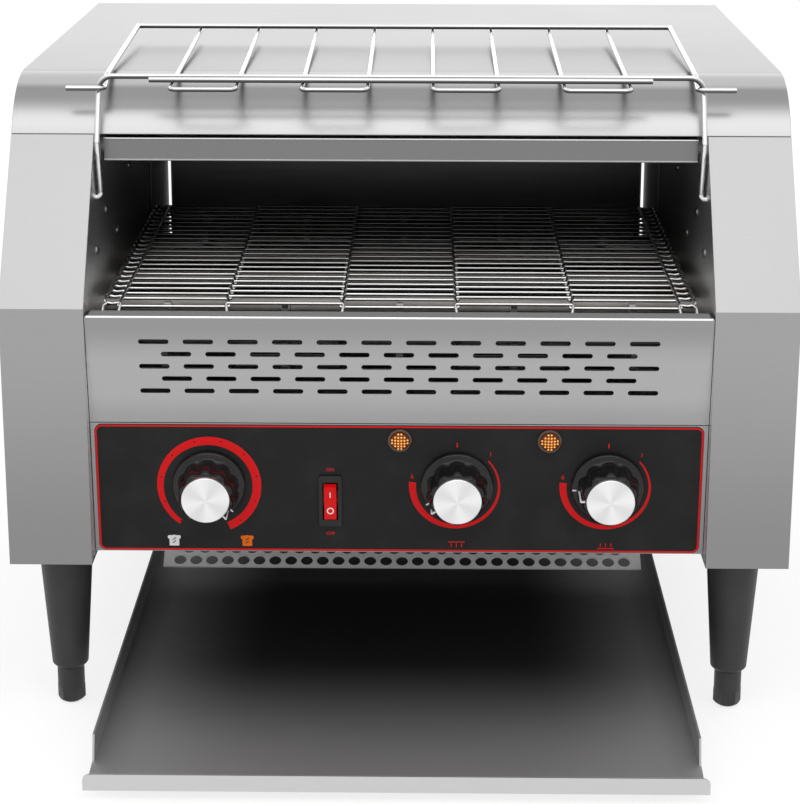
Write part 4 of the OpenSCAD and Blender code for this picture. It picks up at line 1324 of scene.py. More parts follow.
@dataclass
class WireBelt:
    """The flat-wire belt, woven from bent strands round both rows of wheels.

    Attributes:
        strands: Number of strands round the belt.
        pitch_mm: Distance between them.
        wire_mm: Diameter of the wire.
        column_mm: Width of the inner columns.
        knot_mm: Width over which a strand doubles back where it hooks the next one.
        bend_mm: Radius of the bends.
        bend_steps: Points round a bend.
        sides: Facets round the wire.
        crimp_mm: Height of the bends above the strand.
        hook_mm: Length of the hooks at a strand's ends.
        end_gap_mm: Room between the hooks and the CAD belt's edge.
        phase_mm: How far the belt has run on.
        deep_mm: Distances behind the front shaft between which painted shade darkens the belt.
        deep_share: The tint's share that is left at the back.
        under_mm: Heights above the front shaft between which painted shade darkens it downwards.
        under_share: The tint's share that is left on the return run.
    """

    strands: int = 54
    pitch_mm: float = 12.0
    wire_mm: float = 2.1
    column_mm: float = 68.6
    knot_mm: float = 2.4
    bend_mm: float = 1.0
    bend_steps: int = 3
    sides: int = 8
    crimp_mm: float = 1.1
    hook_mm: float = 9.0
    end_gap_mm: float = 0.9
    phase_mm: float = 3.0
    deep_mm: tuple[float, float] = (30.0, 190.0)
    deep_share: float = 0.16
    under_mm: tuple[float, float] = (20.0, 12.0)
    under_share: float = 0.12

    def strand(self, half_width: float) -> bpy.types.Mesh:
        """One flat strand as a line of points, hooked round its neighbour at each end.

        Args:
            half_width: Half the belt's width.

        Returns:
            The line, along X.
        """
        pitch, knot, column = self.pitch_mm * MM, self.knot_mm / 2 * MM, self.column_mm * MM
        hook, rise = self.hook_mm * MM, self.crimp_mm * MM
        reach = pitch + self.wire_mm * MM
        far = reach + pitch
        end = [(0.05, 0.0, 0.0), (-0.15, reach, rise), (0.8, reach, 0.0), (1.0, reach + 0.25 * pitch, rise),
               (1.0, reach + 0.75 * pitch, rise), (0.8, far, rise), (0.3, far, 0.0)]
        points = [(-half_width + hook * (1 - a), b, c) for a, b, c in reversed(end)]
        for i, columns in enumerate((-1.5, -0.5, 0.5, 1.5)):
            edge = columns * column
            before, after = (reach, 0.0) if i % 2 else (0.0, reach)
            points.append((edge + knot, before, rise if before else 0.0))
            points.append((edge - knot, after, rise if after else 0.0))
        points += [(half_width - hook * (1 - a), b, c) for a, b, c in end]
        points = [(x, y + self.phase_mm * MM, z) for x, y, z in points]
        mesh = bpy.data.meshes.new("belt_strand")
        mesh.from_pydata(points, [(i, i + 1) for i in range(len(points) - 1)], [])
        return mesh

    def _wires(self, tree: Tree) -> Link:
        """Lays the strands out flat, one pitch apart, and gives them their round wire.

        Args:
            tree: The tree, with the sizes as inputs.

        Returns:
            The flat belt.
        """
        offset = tree.node("ShaderNodeCombineXYZ", None, {"Y": tree.given("Pitch")})
        row = tree.node("GeometryNodeMeshLine", None, {"Count": tree.given("Strands"), "Offset": offset})
        on_row = {"Points": row, "Instance": tree.given("Geometry")}
        copies = tree.node("GeometryNodeInstanceOnPoints", None, on_row)
        flat = tree.node("GeometryNodeRealizeInstances", None, [copies])
        line = tree.node("GeometryNodeMeshToCurve", None, [flat])
        radius = tree.given("Bend radius")
        bend = {"Curve": line, "Count": self.bend_steps, "Radius": radius, "Limit Radius": True}
        bent = tree.node("GeometryNodeFilletCurve", {"mode": "POLY"}, bend)
        circle = {"Resolution": self.sides, "Radius": tree.given("Wire radius")}
        profile = tree.node("GeometryNodeCurvePrimitiveCircle", None, circle)
        wire = {"Curve": bent, "Profile Curve": profile, "Fill Caps": True}
        return tree.node("GeometryNodeCurveToMesh", None, wire)

    @staticmethod
    def _wrapped(tree: Tree, start: Vector) -> Link:
        """Where a point of the flat belt lies once the belt is wrapped round both shafts.

        Args:
            tree: The tree, whose points run along Y by their distance round the belt.
            start: Middle of the front shaft, above which the belt starts.

        Returns:
            The wrapped position.
        """
        place = tree.node("GeometryNodeInputPosition")
        x, run, lift = (tree.part(place, i) for i in range(3))
        span, radius = tree.given("Shaft span"), tree.given("Wheel radius")
        half_turn = radius * math.pi
        second_turn = span + span + half_turn
        first = (run - span).clamp(half_turn)
        back = (run - span - half_turn).clamp(span)
        last = (run - second_turn).clamp(half_turn)
        past = (run - (second_turn + half_turn)).apply("MAXIMUM", 0.0)
        centre = run.apply("MINIMUM", span) - back
        angle = (first + last) / radius
        reach = radius + lift
        y = centre + reach * angle.apply("SINE") + past
        z = reach * angle.apply("COSINE")
        turned = tree.node("ShaderNodeCombineXYZ", None, [x, y, z])
        return tree.node("ShaderNodeVectorMath", {"operation": "ADD"}, [turned, (0.0, start.y, start.z)])

    def build(self, model: Model) -> None:
        """Weaves the belt and puts it in place of the CAD strands.

        Args:
            model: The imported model.
        """
        front, rear = model.centre("drive_shaft"), model.centre("idler_shaft")
        span = rear.y - front.y
        radius = (self.strands * self.pitch_mm * MM / 2 - span) / math.pi
        tree = Tree("belt_weave", [
            ("Strands", "NodeSocketInt", self.strands),
            ("Pitch", "NodeSocketFloat", self.pitch_mm * MM),
            ("Wire radius", "NodeSocketFloat", self.wire_mm * MM / 2),
            ("Bend radius", "NodeSocketFloat", self.bend_mm * MM),
            ("Wheel radius", "NodeSocketFloat", radius),
            ("Shaft span", "NodeSocketFloat", span),
        ])
        shape = {"Geometry": self._wires(tree), "Position": self._wrapped(tree, front)}
        result = tree.node("GeometryNodeSetPosition", None, shape)
        # Painted shade: the belt darkens deeper in the mouth, down on its return run and on the wires'
        # undersides.
        deeper = Fade(1, *(front.y + depth * MM for depth in self.deep_mm), self.deep_share)
        under = Fade(2, *(front.z + height * MM for height in self.under_mm), self.under_share)
        finish = DrawnWire("belt_wire", (0.84, 0.84, 0.83), (0.62, 0.58, 0.52), 0.3, fades=(deeper, under),
                           underside=0.35).make()
        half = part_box("belt_upper_run")[1].x - (self.wire_mm / 2 + self.end_gap_mm) * MM
        belt = tree.run(self.strand(half), "woven_belt", result, finish, 50.0)
        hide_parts("belt_upper_run", "belt_return_run")
        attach(belt, model.body_of["belt_upper_run"])


@dataclass
class Knob:
    """One control knob: fluted grip on a skirt, with a spun metal cap and a white pointer.

    Attributes:
        name: The knob's CAD node.
        pointer_deg: Clock angle that the pointer shows.
        flutes: Number of flutes.
        flute_mm: Depth of a flute.
        flute_from_mm: Height at which the flutes start.
        flute_run_mm: Height over which they reach their depth.
        flute_inside_mm: Radius inside which nothing is fluted.
        side_mm: The moulding's outline as (radius, height), drawn for a skirt of skirt_mm.
        skirt_mm: Radius of the skirt in that outline.
        cap_mm: The cap's outline as (radius, height).
        pointer_mm: The pointer's strokes as (inner and outer radius, lower and upper height).
        stroke_mm: Half the pointer's width.
    """

    name: str
    pointer_deg: float
    flutes: int = 10
    flute_mm: float = 1.7
    flute_from_mm: float = 5.2
    flute_run_mm: float = 2.0
    flute_inside_mm: float = 10.0
    side_mm: Sequence[Point] = (
        (0, 0.6), (20.6, 0.6), (21.6, 0.9), (22.0, 1.7), (21.9, 3.2), (21.3, 4.1), (20.2, 4.5), (18.9, 4.8),
        (18.1, 5.6), (17.9, 7.5), (17.6, 13), (17.2, 18.5), (16.9, 20.4), (16.2, 21.7), (15.2, 22.4),
        (14.5, 22.5), (0, 22.5))
    skirt_mm: float = 22.0
    cap_mm: Sequence[Point] = (
        (0, 0), (14.4, 0), (14.4, 1.9), (14.25, 2.3), (13.9, 2.55), (13.3, 2.6), (0, 2.45))
    pointer_mm: Sequence[Point] = (
        (19.0, 21.4, 4.0, 4.78), (14.9, 17.3, 21.2, 22.56), (16.95, 17.95, 6.5, 22.0))
    stroke_mm: float = 0.42

    def _fluted(self, radius: float, height: float, angle: float) -> float:
        """The grip's radius with its flutes cut in.

        Args:
            radius: The radius without flutes.
            height: Height above the panel.
            angle: Angle round the knob, in radians.

        Returns:
            The radius there.
        """
        above = height - self.flute_from_mm * MM
        if above < 0 or radius < self.flute_inside_mm * MM:
            return radius
        share = min(1.0, above / (self.flute_run_mm * MM))
        wave = (0.5 + 0.5 * math.cos(angle * self.flutes)) ** 1.6
        return radius - self.flute_mm * MM * share * wave

    def build(self, model: Model, plane: PanelPlane, black: bpy.types.Material,
              white: bpy.types.Material) -> None:
        """Makes the knob's moulding, its cap and its pointer line.

        Args:
            model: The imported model.
            plane: The panel's plane.
            black: The moulding's finish.
            white: The pointer's finish.
        """
        body = model.body_of[self.name]
        x, up = plane.locate(model.centre(self.name))
        low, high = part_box(self.name)
        skirt = (high.x - low.x) / 2
        shape = Outline()
        shape.at = plane.matrix(x, up)
        side = [(r / self.skirt_mm * skirt, h * MM) for r, h in self.side_mm]
        shape.lathe(side, 180, self._fluted)
        moulding = shape.build(self.name + "_moulding", black, 40.0)
        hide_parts(self.name)
        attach(moulding, body)

        spun = SpunCap(self.name + "_cap_spun", tuple(model.centre(self.name + "_cap")), plane.lean).make()
        disc = Outline()
        disc.at = plane.matrix(x, up, side[-1][1])
        disc.lathe([(r * MM, h * MM) for r, h in self.cap_mm], 96)
        cap = disc.build(self.name + "_cap_disc", spun, 30.0)
        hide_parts(self.name + "_cap")
        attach(cap, body)

        mark = Outline()
        mark.at = plane.matrix(x, up) @ Matrix.Rotation(-math.radians(self.pointer_deg), 4, "Z")
        for inner, outer, foot, top in self.pointer_mm:
            mark.plate(box_mm(-self.stroke_mm, inner, self.stroke_mm, outer), foot * MM, top * MM)
        line = mark.build(self.name + "_pointer", white)
        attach(line, body)


@dataclass
class Rocker:
    """The lit drive switch with its marks.

    Attributes:
        edge_mm: Radius of the housing's moulded edges.
        paddle_edge_mm: Radius of the paddle's edges.
        paddle_share: Width of the lit part, as a share of the paddle.
        ring_mm: Inner and outer radius of the O.
        bar_mm: Half the width and half the height of the I.
        mark_mm: Lowest and highest face of a mark, about the paddle's surface.
    """

    edge_mm: float = 0.5
    paddle_edge_mm: float = 0.35
    paddle_share: float = 0.84
    ring_mm: tuple[float, float] = (1.45, 2.15)
    bar_mm: tuple[float, float] = (0.35, 2.1)
    mark_mm: tuple[float, float] = (-0.05, 0.06)

    def build(self, model: Model, black: bpy.types.Material, white: bpy.types.Material) -> None:
        """Dresses the housing and paddle, and lays the I and O on the paddle.

        Args:
            model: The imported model.
            black: The housing's finish.
            white: The marks' finish.
        """
        red = Moulded("lit_red_plastic", (0.60, 0.002, 0.002), 0.2, 0.8, 0.03, coat=0.08, glow=0.14,
                      gloss=0.15).make()
        model.soften(black, self.edge_mm, "rocker_housing")
        paddle = model.soften(red, self.paddle_edge_mm, "rocker_paddle", segments=3)[0]
        middle = Matrix.Translation((model.centre("rocker_paddle").x, 0, 0))
        paddle.data.transform(middle @ Matrix.Diagonal((self.paddle_share, 1, 1, 1)) @ middle.inverted())
        mesh = model.nodes["rocker_paddle"].data
        fronts = [p for p in mesh.polygons if p.normal.y < -0.5 and p.area > 1e-5]
        fronts.sort(key=lambda p: p.center.z)
        across = Vector((1, 0, 0))
        foot, top = (c * MM for c in self.mark_mm)
        for name, face in (("rocker_mark_o", fronts[0]), ("rocker_mark_i", fronts[-1])):
            out = face.normal
            basis = Matrix((across, out.cross(across), out)).transposed().to_4x4()
            shape = Outline()
            shape.at = Matrix.Translation(self._middle(mesh, face)) @ basis
            if name == "rocker_mark_o":
                inner, outer = (arc(r * MM, 0, 360, 32)[:-1] for r in self.ring_mm)
                shape.band(inner, outer, foot, top, True)
            else:
                w, h = self.bar_mm
                shape.plate(box_mm(-w, -h, w, h), foot, top)
            mark = shape.build(name, white)
            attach(mark, model.body_of["rocker_paddle"])

    @staticmethod
    def _middle(mesh: bpy.types.Mesh, face: bpy.types.MeshPolygon) -> Vector:
        """Middle of the flat face that a triangle belongs to.

        Args:
            mesh: The paddle's mesh.
            face: The triangle.

        Returns:
            The middle of its box.
        """
        spots = []
        for p in mesh.polygons:
            level = abs((p.center - face.center).dot(face.normal)) < 1e-5
            if level and p.normal.angle(face.normal) < 0.02:
                spots += [mesh.vertices[i].co for i in p.vertices]
        low = Vector(min(s[i] for s in spots) for i in range(3))
        high = Vector(max(s[i] for s in spots) for i in range(3))
        return (low + high) / 2


@dataclass
class Lamp:
    """An amber indicator lamp with a pipped lens in a dark rim.

    Attributes:
        name: The lamp's CAD node.
        rim_mm: The rim's outline as (distance inside the lamp's radius, height).
        rim_width_mm: Width of the rim round the lens.
        seat_mm: Height at which the lens sits.
        lens_mm: The lens's outline as (share of its radius, height).
        pips: Pips across the lens.
        pip_mm: Radius of a pip.
        dome_mm: Height of the dome that the pips stand on.
        grid_share: Side of the pips' square grid, as a share of the lens's radius.
        reach_share: Share of the lens's radius past which there are no pips.
    """

    name: str
    rim_mm: Sequence[Point] = (
        (2.6, -0.1), (0.2, 0.02), (0.0, 0.3), (0.0, 0.9), (0.3, 1.35), (0.9, 1.6), (1.5, 1.5), (1.7, 1.1))
    rim_width_mm: float = 1.7
    seat_mm: float = 1.9
    lens_mm: Sequence[Point] = ((0, -0.8), (1, -0.8), (1, 0.1), (0.8, 0.6), (0.5, 1.15), (0, 1.5))
    pips: int = 6
    pip_mm: float = 0.6
    dome_mm: float = 1.45
    grid_share: float = 1.62
    reach_share: float = 0.9

    def build(self, model: Model, plane: PanelPlane) -> None:
        """Makes the rim and the lens with its pips.

        Args:
            model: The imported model.
            plane: The panel's plane.
        """
        low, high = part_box(self.name)
        x, up = plane.locate((low + high) / 2)
        radius = (high.x - low.x) / 2
        dark = Moulded(self.name + "_rim_plastic", (0.055, 0.024, 0.008), 0.18, 0.6, 0.05, coat=0.4).make()
        rim = Outline()
        rim.at = plane.matrix(x, up)
        side = [(radius - inset * MM, height * MM) for inset, height in self.rim_mm]
        rim.lathe([(0, side[0][1]), *side, (0, side[-1][1])], 72)
        ring = rim.build(self.name + "_rim", dark, 30.0)
        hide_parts(self.name)
        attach(ring, model.body_of[self.name])

        centre = plane.matrix(x, up, 2.0 * MM).translation
        amber = LensPlastic(self.name + "_lens_plastic", tuple(centre)).make()
        seat = plane.matrix(x, up, self.seat_mm * MM)
        inside = radius - self.rim_width_mm * MM
        dome = Outline()
        dome.at = seat
        dome.lathe([(share * inside, height * MM) for share, height in self.lens_mm], 48)
        lens = dome.build(self.name + "_lens", amber, 30.0)
        for made in (lens, self._pips(seat, inside)):
            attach(made, model.body_of[self.name])

    def _pips(self, at: Matrix, radius: float) -> bpy.types.Object:
        """The moulded pips: Geometry Nodes set one at each point of a round grid on the dome.

        Args:
            at: The lens's placement.
            radius: The lens's radius.

        Returns:
            The pips as one piece.
        """
        tree = Tree(self.name + "_lens_pips", [
            ("Radius", "NodeSocketFloat", radius),
            ("Pips", "NodeSocketInt", self.pips),
            ("Pip radius", "NodeSocketFloat", self.pip_mm * MM),
            ("Dome", "NodeSocketFloat", self.dome_mm * MM),
        ])
        size, across = tree.given("Radius"), tree.given("Pips")
        width = size * self.grid_share
        square = {"Size X": width, "Size Y": width, "Vertices X": across, "Vertices Y": across}
        grid = tree.node("GeometryNodeMeshGrid", None, square)
        away = tree.length(tree.node("GeometryNodeInputPosition"))
        beyond = {"data_type": "FLOAT", "operation": "GREATER_THAN"}
        outside = tree.node("FunctionNodeCompare", beyond, [away, size * self.reach_share])
        spare = {"Geometry": grid, "Selection": outside}
        spots = tree.node("GeometryNodeDeleteGeometry", {"domain": "POINT"}, spare)
        ball = {"Radius": tree.given("Pip radius"), "Subdivisions": 2}
        pip = tree.node("GeometryNodeMeshIcoSphere", None, ball)
        rise = (1.0 - (away / size).apply("POWER", 2.0)) * tree.given("Dome")
        lift = tree.node("ShaderNodeCombineXYZ", None, {"Z": rise})
        domed = tree.node("GeometryNodeSetPosition", None, {"Geometry": spots, "Offset": lift})
        pips = tree.node("GeometryNodeInstanceOnPoints", None, {"Points": domed, "Instance": pip})
        glowing = Moulded(self.name + "_pip_plastic", (1.0, 0.42, 0.08), 0.2, 0.6, 0.05, coat=0.1, glow=0.55,
                          gloss=0.3).make()
        made = tree.run(bpy.data.meshes.new("lens_places"), self.name + "_pips", pips, glowing, 60.0)
        made.data.transform(at)
        return made


@dataclass
class Printing:
    """The overlay's printed border, dials, ticks and pictograms.

    Attributes:
        ink_mm: Thickness of the ink.
        over_mm: Thickness of ink that is printed over other ink.
        edge_mm: Bare film outside the red border.
        border_mm: Width of the border at its top and bottom.
        border_sides: Its width at the sides, as a share of that.
        corner_mm: Outer and inner radius of the border's corners.
        ring_deg: Clock angles of the speed dial's ring.
        ring_mm: Its outer radius.
        ring_width_mm: Its least width and what it gains.
        ring_full: Share of the way round at which it is at its full width.
        dots: Number of the ring's dots.
        dots_deg: Clock angle of the first dot and the step to the next.
        dots_mm: Radius of the circle they stand on.
        dot_mm: Radius of a dot.
        slices_mm: Distance of the two slices of bread beside and below the dial's middle.
        slice_mm: Height of a slice.
        heat_deg: Clock angles of a heat dial's arc.
        heat_mm: Its inner radius.
        heat_width_mm: Its least width and what it gains.
        heat_sign_mm: Distance of the heat sign below the dial's middle.
        number_mm: Height of the numbers.
        word_mm: Height of the words.
        font_share: The font's size, as a share of the characters' height.
        red: What is printed in red.
        black: What is printed in black.
        white: What is printed in white.
        orange: What is printed in orange.
    """

    ink_mm: float = 0.04
    over_mm: float = 0.02
    edge_mm: float = 0.3
    border_mm: float = 1.0
    border_sides: float = 1.15
    corner_mm: tuple[float, float] = (4.2, 3.2)
    ring_deg: tuple[float, float] = (216.0, 517.0)
    ring_mm: float = 31.4
    ring_width_mm: tuple[float, float] = (3.0, 2.2)
    ring_full: float = 0.45
    dots: int = 10
    dots_deg: tuple[float, float] = (217.0, 31.6)
    dots_mm: float = 29.2
    dot_mm: float = 0.55
    slices_mm: tuple[float, float] = (22.2, 36.4)
    slice_mm: float = 7.0
    heat_deg: tuple[float, float] = (48.0, 276.0)
    heat_mm: float = 24.7
    heat_width_mm: tuple[float, float] = (0.8, 3.5)
    heat_sign_mm: float = 38.3
    number_mm: float = 3.0
    word_mm: float = 2.2
    font_share: float = 1.35
    red: Outline = field(default_factory=Outline)
    black: Outline = field(default_factory=Outline)
    white: Outline = field(default_factory=Outline)
    orange: Outline = field(default_factory=Outline)

    def build(self, model: Model, plane: PanelPlane) -> None:
        """Prints the panel.

        Args:
            model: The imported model.
            plane: The panel's plane.
        """
        low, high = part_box("panel_overlay")
        height = (high.z - low.z) / math.cos(plane.lean)
        self._border(plane, high.x - low.x, height)
        self._speed_dial(plane, *plane.locate(model.centre("speed_spindle")))
        for node, above in (("upper_heat_spindle", True), ("lower_heat_spindle", False)):
            x, up = plane.locate(model.centre(node))
            self._heat_dial(plane, x, up)
            self._heat_sign(plane, x, up - self.heat_sign_mm * MM, above)
        x, up = plane.locate(model.centre("rocker_housing"))
        self._words(plane, "ON", x, up + 20.6 * MM, self.word_mm)
        self._words(plane, "OFF", x, up - 21.2 * MM, self.word_mm)
        for outline, name, tint in (
            (self.red, "red", (0.78, 0.012, 0.015)),
            (self.black, "black", grey(0.02)),
            (self.white, "white", grey(0.80)),
            (self.orange, "orange", (0.80, 0.16, 0.01)),
        ):
            piece = outline.build("panel_print_" + name, Print(name + "_ink", tint).make(), 20.0)
            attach(piece, model.body_of["panel_overlay"])

    @staticmethod
    def _on(outline: Outline, plane: PanelPlane, x: float, up: float, turn_deg: float = 0.0) -> Outline:
        """Points an outline's pen at a place on the panel."""
        outline.at = plane.matrix(x, up) @ Matrix.Rotation(-math.radians(turn_deg), 4, "Z")
        return outline

    def _border(self, plane: PanelPlane, w: float, h: float) -> None:
        """The thin red frame round the overlay.

        Args:
            plane: The panel's plane.
            w: Width of the overlay.
            h: Height of the overlay.
        """
        pen = self._on(self.red, plane, 0, -h / 2)
        edge, line = self.edge_mm * MM, self.border_mm * MM
        around, within = (r * MM for r in self.corner_mm)
        outer = rounded_box(w - 2 * edge, h - 2 * edge, around)
        inner = rounded_box(w - 2 * (edge + self.border_sides * line), h - 2 * (edge + line), within)
        pen.band(inner, outer, 0.0, self.ink_mm * MM, True)

    def _speed_dial(self, plane: PanelPlane, x: float, up: float) -> None:
        """A broad ring that swells from its slow end, with black dots and two slices of bread.

        Args:
            plane: The panel's plane.
            x: Place of its middle across the panel.
            up: Place of its middle up the panel.
        """
        ink, over = self.ink_mm * MM, (self.ink_mm + self.over_mm) * MM
        least, gain = self.ring_width_mm
        outer = arc(self.ring_mm * MM, *self.ring_deg, 90)
        inner = swept(lambda share: (self.ring_mm - least - gain * min(1.0, share / self.ring_full)) * MM,
                      *self.ring_deg, 90)
        self._on(self.red, plane, x, up).band(inner, outer, 0.0, ink)
        first, step = self.dots_deg
        for i in range(self.dots):
            dot = self._on(self.black, plane, x, up, first + step * i)
            dot.at = dot.at @ Matrix.Translation((0, self.dots_mm * MM, ink))
            dot.plate(arc(self.dot_mm * MM, 360, 0, 12)[:-1], 0.0, self.over_mm * MM)
        aside, below = (c * MM for c in self.slices_mm)
        stripe = ((-1.2, -0.5), (-0.7, -0.8), (1.3, 0.8), (0.8, 1.1))
        for side, pen in ((-1, self.white), (1, self.orange)):
            self._slice(self._on(pen, plane, x + side * aside, up - below))
            bars = self._on(self.black, plane, x + side * aside, up - below)
            for lift in (-1.1, 0.9):
                bars.plate([(a * MM, (lift + b) * MM) for a, b in stripe], ink, over)

    def _slice(self, pen: Outline) -> None:
        """A plain slice of bread, seen from its cut face.

        Args:
            pen: The ink, placed at the slice's middle.
        """
        body = [(-0.78, -1.0), (0.78, -1.0), (0.84, -0.9), (0.84, 0.3)]
        crown = [(0.84 + 0.30 * math.sin(a), 0.62 - 0.36 * math.cos(a)) for a in (0.3, 0.9, 1.6, 2.3, 2.9)]
        dome = [(0.5 * math.cos(a), 0.80 + 0.24 * math.sin(a)) for a in (0.7, 1.2, 1.571, 1.94, 2.44)]
        left = [(-a, b) for a, b in reversed(body + crown)]
        half = self.slice_mm / 2 * MM
        outline = [(a * half, b * half) for a, b in body + crown + dome + left]
        pen.plate(outline[::-1], 0.0, self.ink_mm * MM)

    def _heat_dial(self, plane: PanelPlane, x: float, up: float) -> None:
        """An arc that swells from low to high, the off tick and plain end numbers.

        Args:
            plane: The panel's plane.
            x: Place of its middle across the panel.
            up: Place of its middle up the panel.
        """
        ink = self.ink_mm * MM
        least, gain = self.heat_width_mm
        inner = arc(self.heat_mm * MM, *self.heat_deg, 80)
        outer = swept(lambda share: (self.heat_mm + least + gain * share ** 1.1) * MM, *self.heat_deg, 80)
        pen = self._on(self.red, plane, x, up)
        pen.band(inner, outer, 0.0, ink)
        pen.plate(box_mm(-0.35, 25.4, 0.35, 28.4)[::-1], 0.0, ink)
        self._words(plane, "1", x + 20.0 * MM, up + 21.0 * MM, self.number_mm)
        self._words(plane, "6", x - 27.0 * MM, up + 6.4 * MM, self.number_mm)

    def _heat_sign(self, plane: PanelPlane, x: float, up: float, above: bool) -> None:
        """A bar with three rays of heat that point down from above or up from below.

        Args:
            plane: The panel's plane.
            x: Place of its middle across the panel.
            up: Place of its middle up the panel.
            above: Whether the heat comes from above.
        """
        pen = self._on(self.red, plane, x, up)
        side = 1 if above else -1
        ink = self.ink_mm * MM
        bar = box_mm(-5.0, side * 1.6, 5.0, side * 2.2)
        pen.plate(bar if above else bar[::-1], 0.0, ink)
        for middle in (-3.2, 0.0, 3.2):
            pen.plate(box_mm(middle - 0.25, side * 0.9, middle + 0.25, side * -1.6), 0.0, ink)

    def _words(self, plane: PanelPlane, text: str, x: float, up: float, height_mm: float) -> None:
        """Plain characters, centred on a place and added to the red ink.

        Args:
            plane: The panel's plane.
            text: The characters.
            x: Place of its middle across the panel.
            up: Place of its middle up the panel.
            height_mm: Their height.
        """
        curve = bpy.data.curves.new("characters", "FONT")
        curve.body = text
        curve.size = height_mm * MM * self.font_share
        curve.align_x = "CENTER"
        curve.align_y = "CENTER"
        curve.extrude = self.ink_mm * MM / 2
        carrier = bpy.data.objects.new("characters", curve)
        bpy.context.scene.collection.objects.link(carrier)
        graph = bpy.context.evaluated_depsgraph_get()
        mesh = bpy.data.meshes.new_from_object(carrier.evaluated_get(graph))
        place = plane.matrix(x, up, self.ink_mm * MM / 2)
        first = len(self.red.points)
        self.red.points += [place @ v.co for v in mesh.vertices]
        self.red.faces += [tuple(first + i for i in p.vertices) for p in mesh.polygons]
        bpy.data.objects.remove(carrier)
        bpy.data.curves.remove(curve)


@dataclass
class Running:
    """Legs, feet, rack, shafts, heaters and the parts inside.

    Attributes:
        leg_edge_mm: Radius of the legs' and feet's edges.
        overlay_edge_mm: Radius of the overlay film's edges.
        rack_bars_mm: Depth below the rack's top down to which its undersides carry painted shade.
    """

    leg_edge_mm: float = 0.5
    overlay_edge_mm: float = 0.08
    rack_bars_mm: float = 20.0

    def build(self, model: Model, black: bpy.types.Material) -> None:
        """Dresses the nodes that keep their CAD shape or need only softer edges.

        Args:
            model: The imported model.
            black: The cable gland's finish.
        """
        leg = Moulded("leg_plastic", grey(0.017), 0.5, 0.6, 0.3).make()
        feet = ("foot_front_left", "foot_front_right", "foot_rear_left", "foot_rear_right")
        model.soften(leg, self.leg_edge_mm, "legs", *feet)
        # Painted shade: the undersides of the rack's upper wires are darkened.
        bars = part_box("wire_rack")[1].z - self.rack_bars_mm * MM
        chrome = DrawnWire("rack_chrome", grey(0.80), shine=0.07, underside=0.12, plain_below=bars)
        quartz = Moulded("frosted_quartz", (0.42, 0.40, 0.37), 0.3, 0.9, 0.1, coat=0.3)
        for finish, names in (
            (chrome, ("wire_rack",)),
            (DrawnWire("turned_steel", (0.24, 0.24, 0.235), (0.15, 0.14, 0.12), 0.2, 0.28), (
                "drive_shaft", "drive_wheels", "idler_shaft", "idler_wheels", "driven_chain_wheel",
                "motor_chain_wheel", "motor_output_shaft", "drive_chain", "speed_spindle",
                "upper_heat_spindle", "lower_heat_spindle", "leg_bolts")),
            (Moulded("bush_bronze", (0.50, 0.33, 0.12), 0.3, 0.5, 0.1), ("shaft_bushes",)),
            (Moulded("ceramic", (0.62, 0.60, 0.55), 0.6, 0.7, 0.2), (
                "heater_end_caps", "upper_heat_switch", "lower_heat_switch", "terminal_block")),
            (quartz, ("upper_heaters", "lower_heaters")),
            (Moulded("motor_paint", (0.16, 0.17, 0.18), 0.45, 0.6, 0.2), ("gear_motor",)),
            (Moulded("board_green", (0.02, 0.09, 0.04), 0.4, 0.8, 0.2), ("control_board", "speed_regulator")),
        ):
            model.paint(finish.make(), *names)
        model.paint(black, "cable_gland")
        film = Moulded("overlay_film", (0.010, 0.011, 0.010), 0.42, 0.9, 0.1, gloss=0.17).make()
        model.soften(film, self.overlay_edge_mm, "panel_overlay")


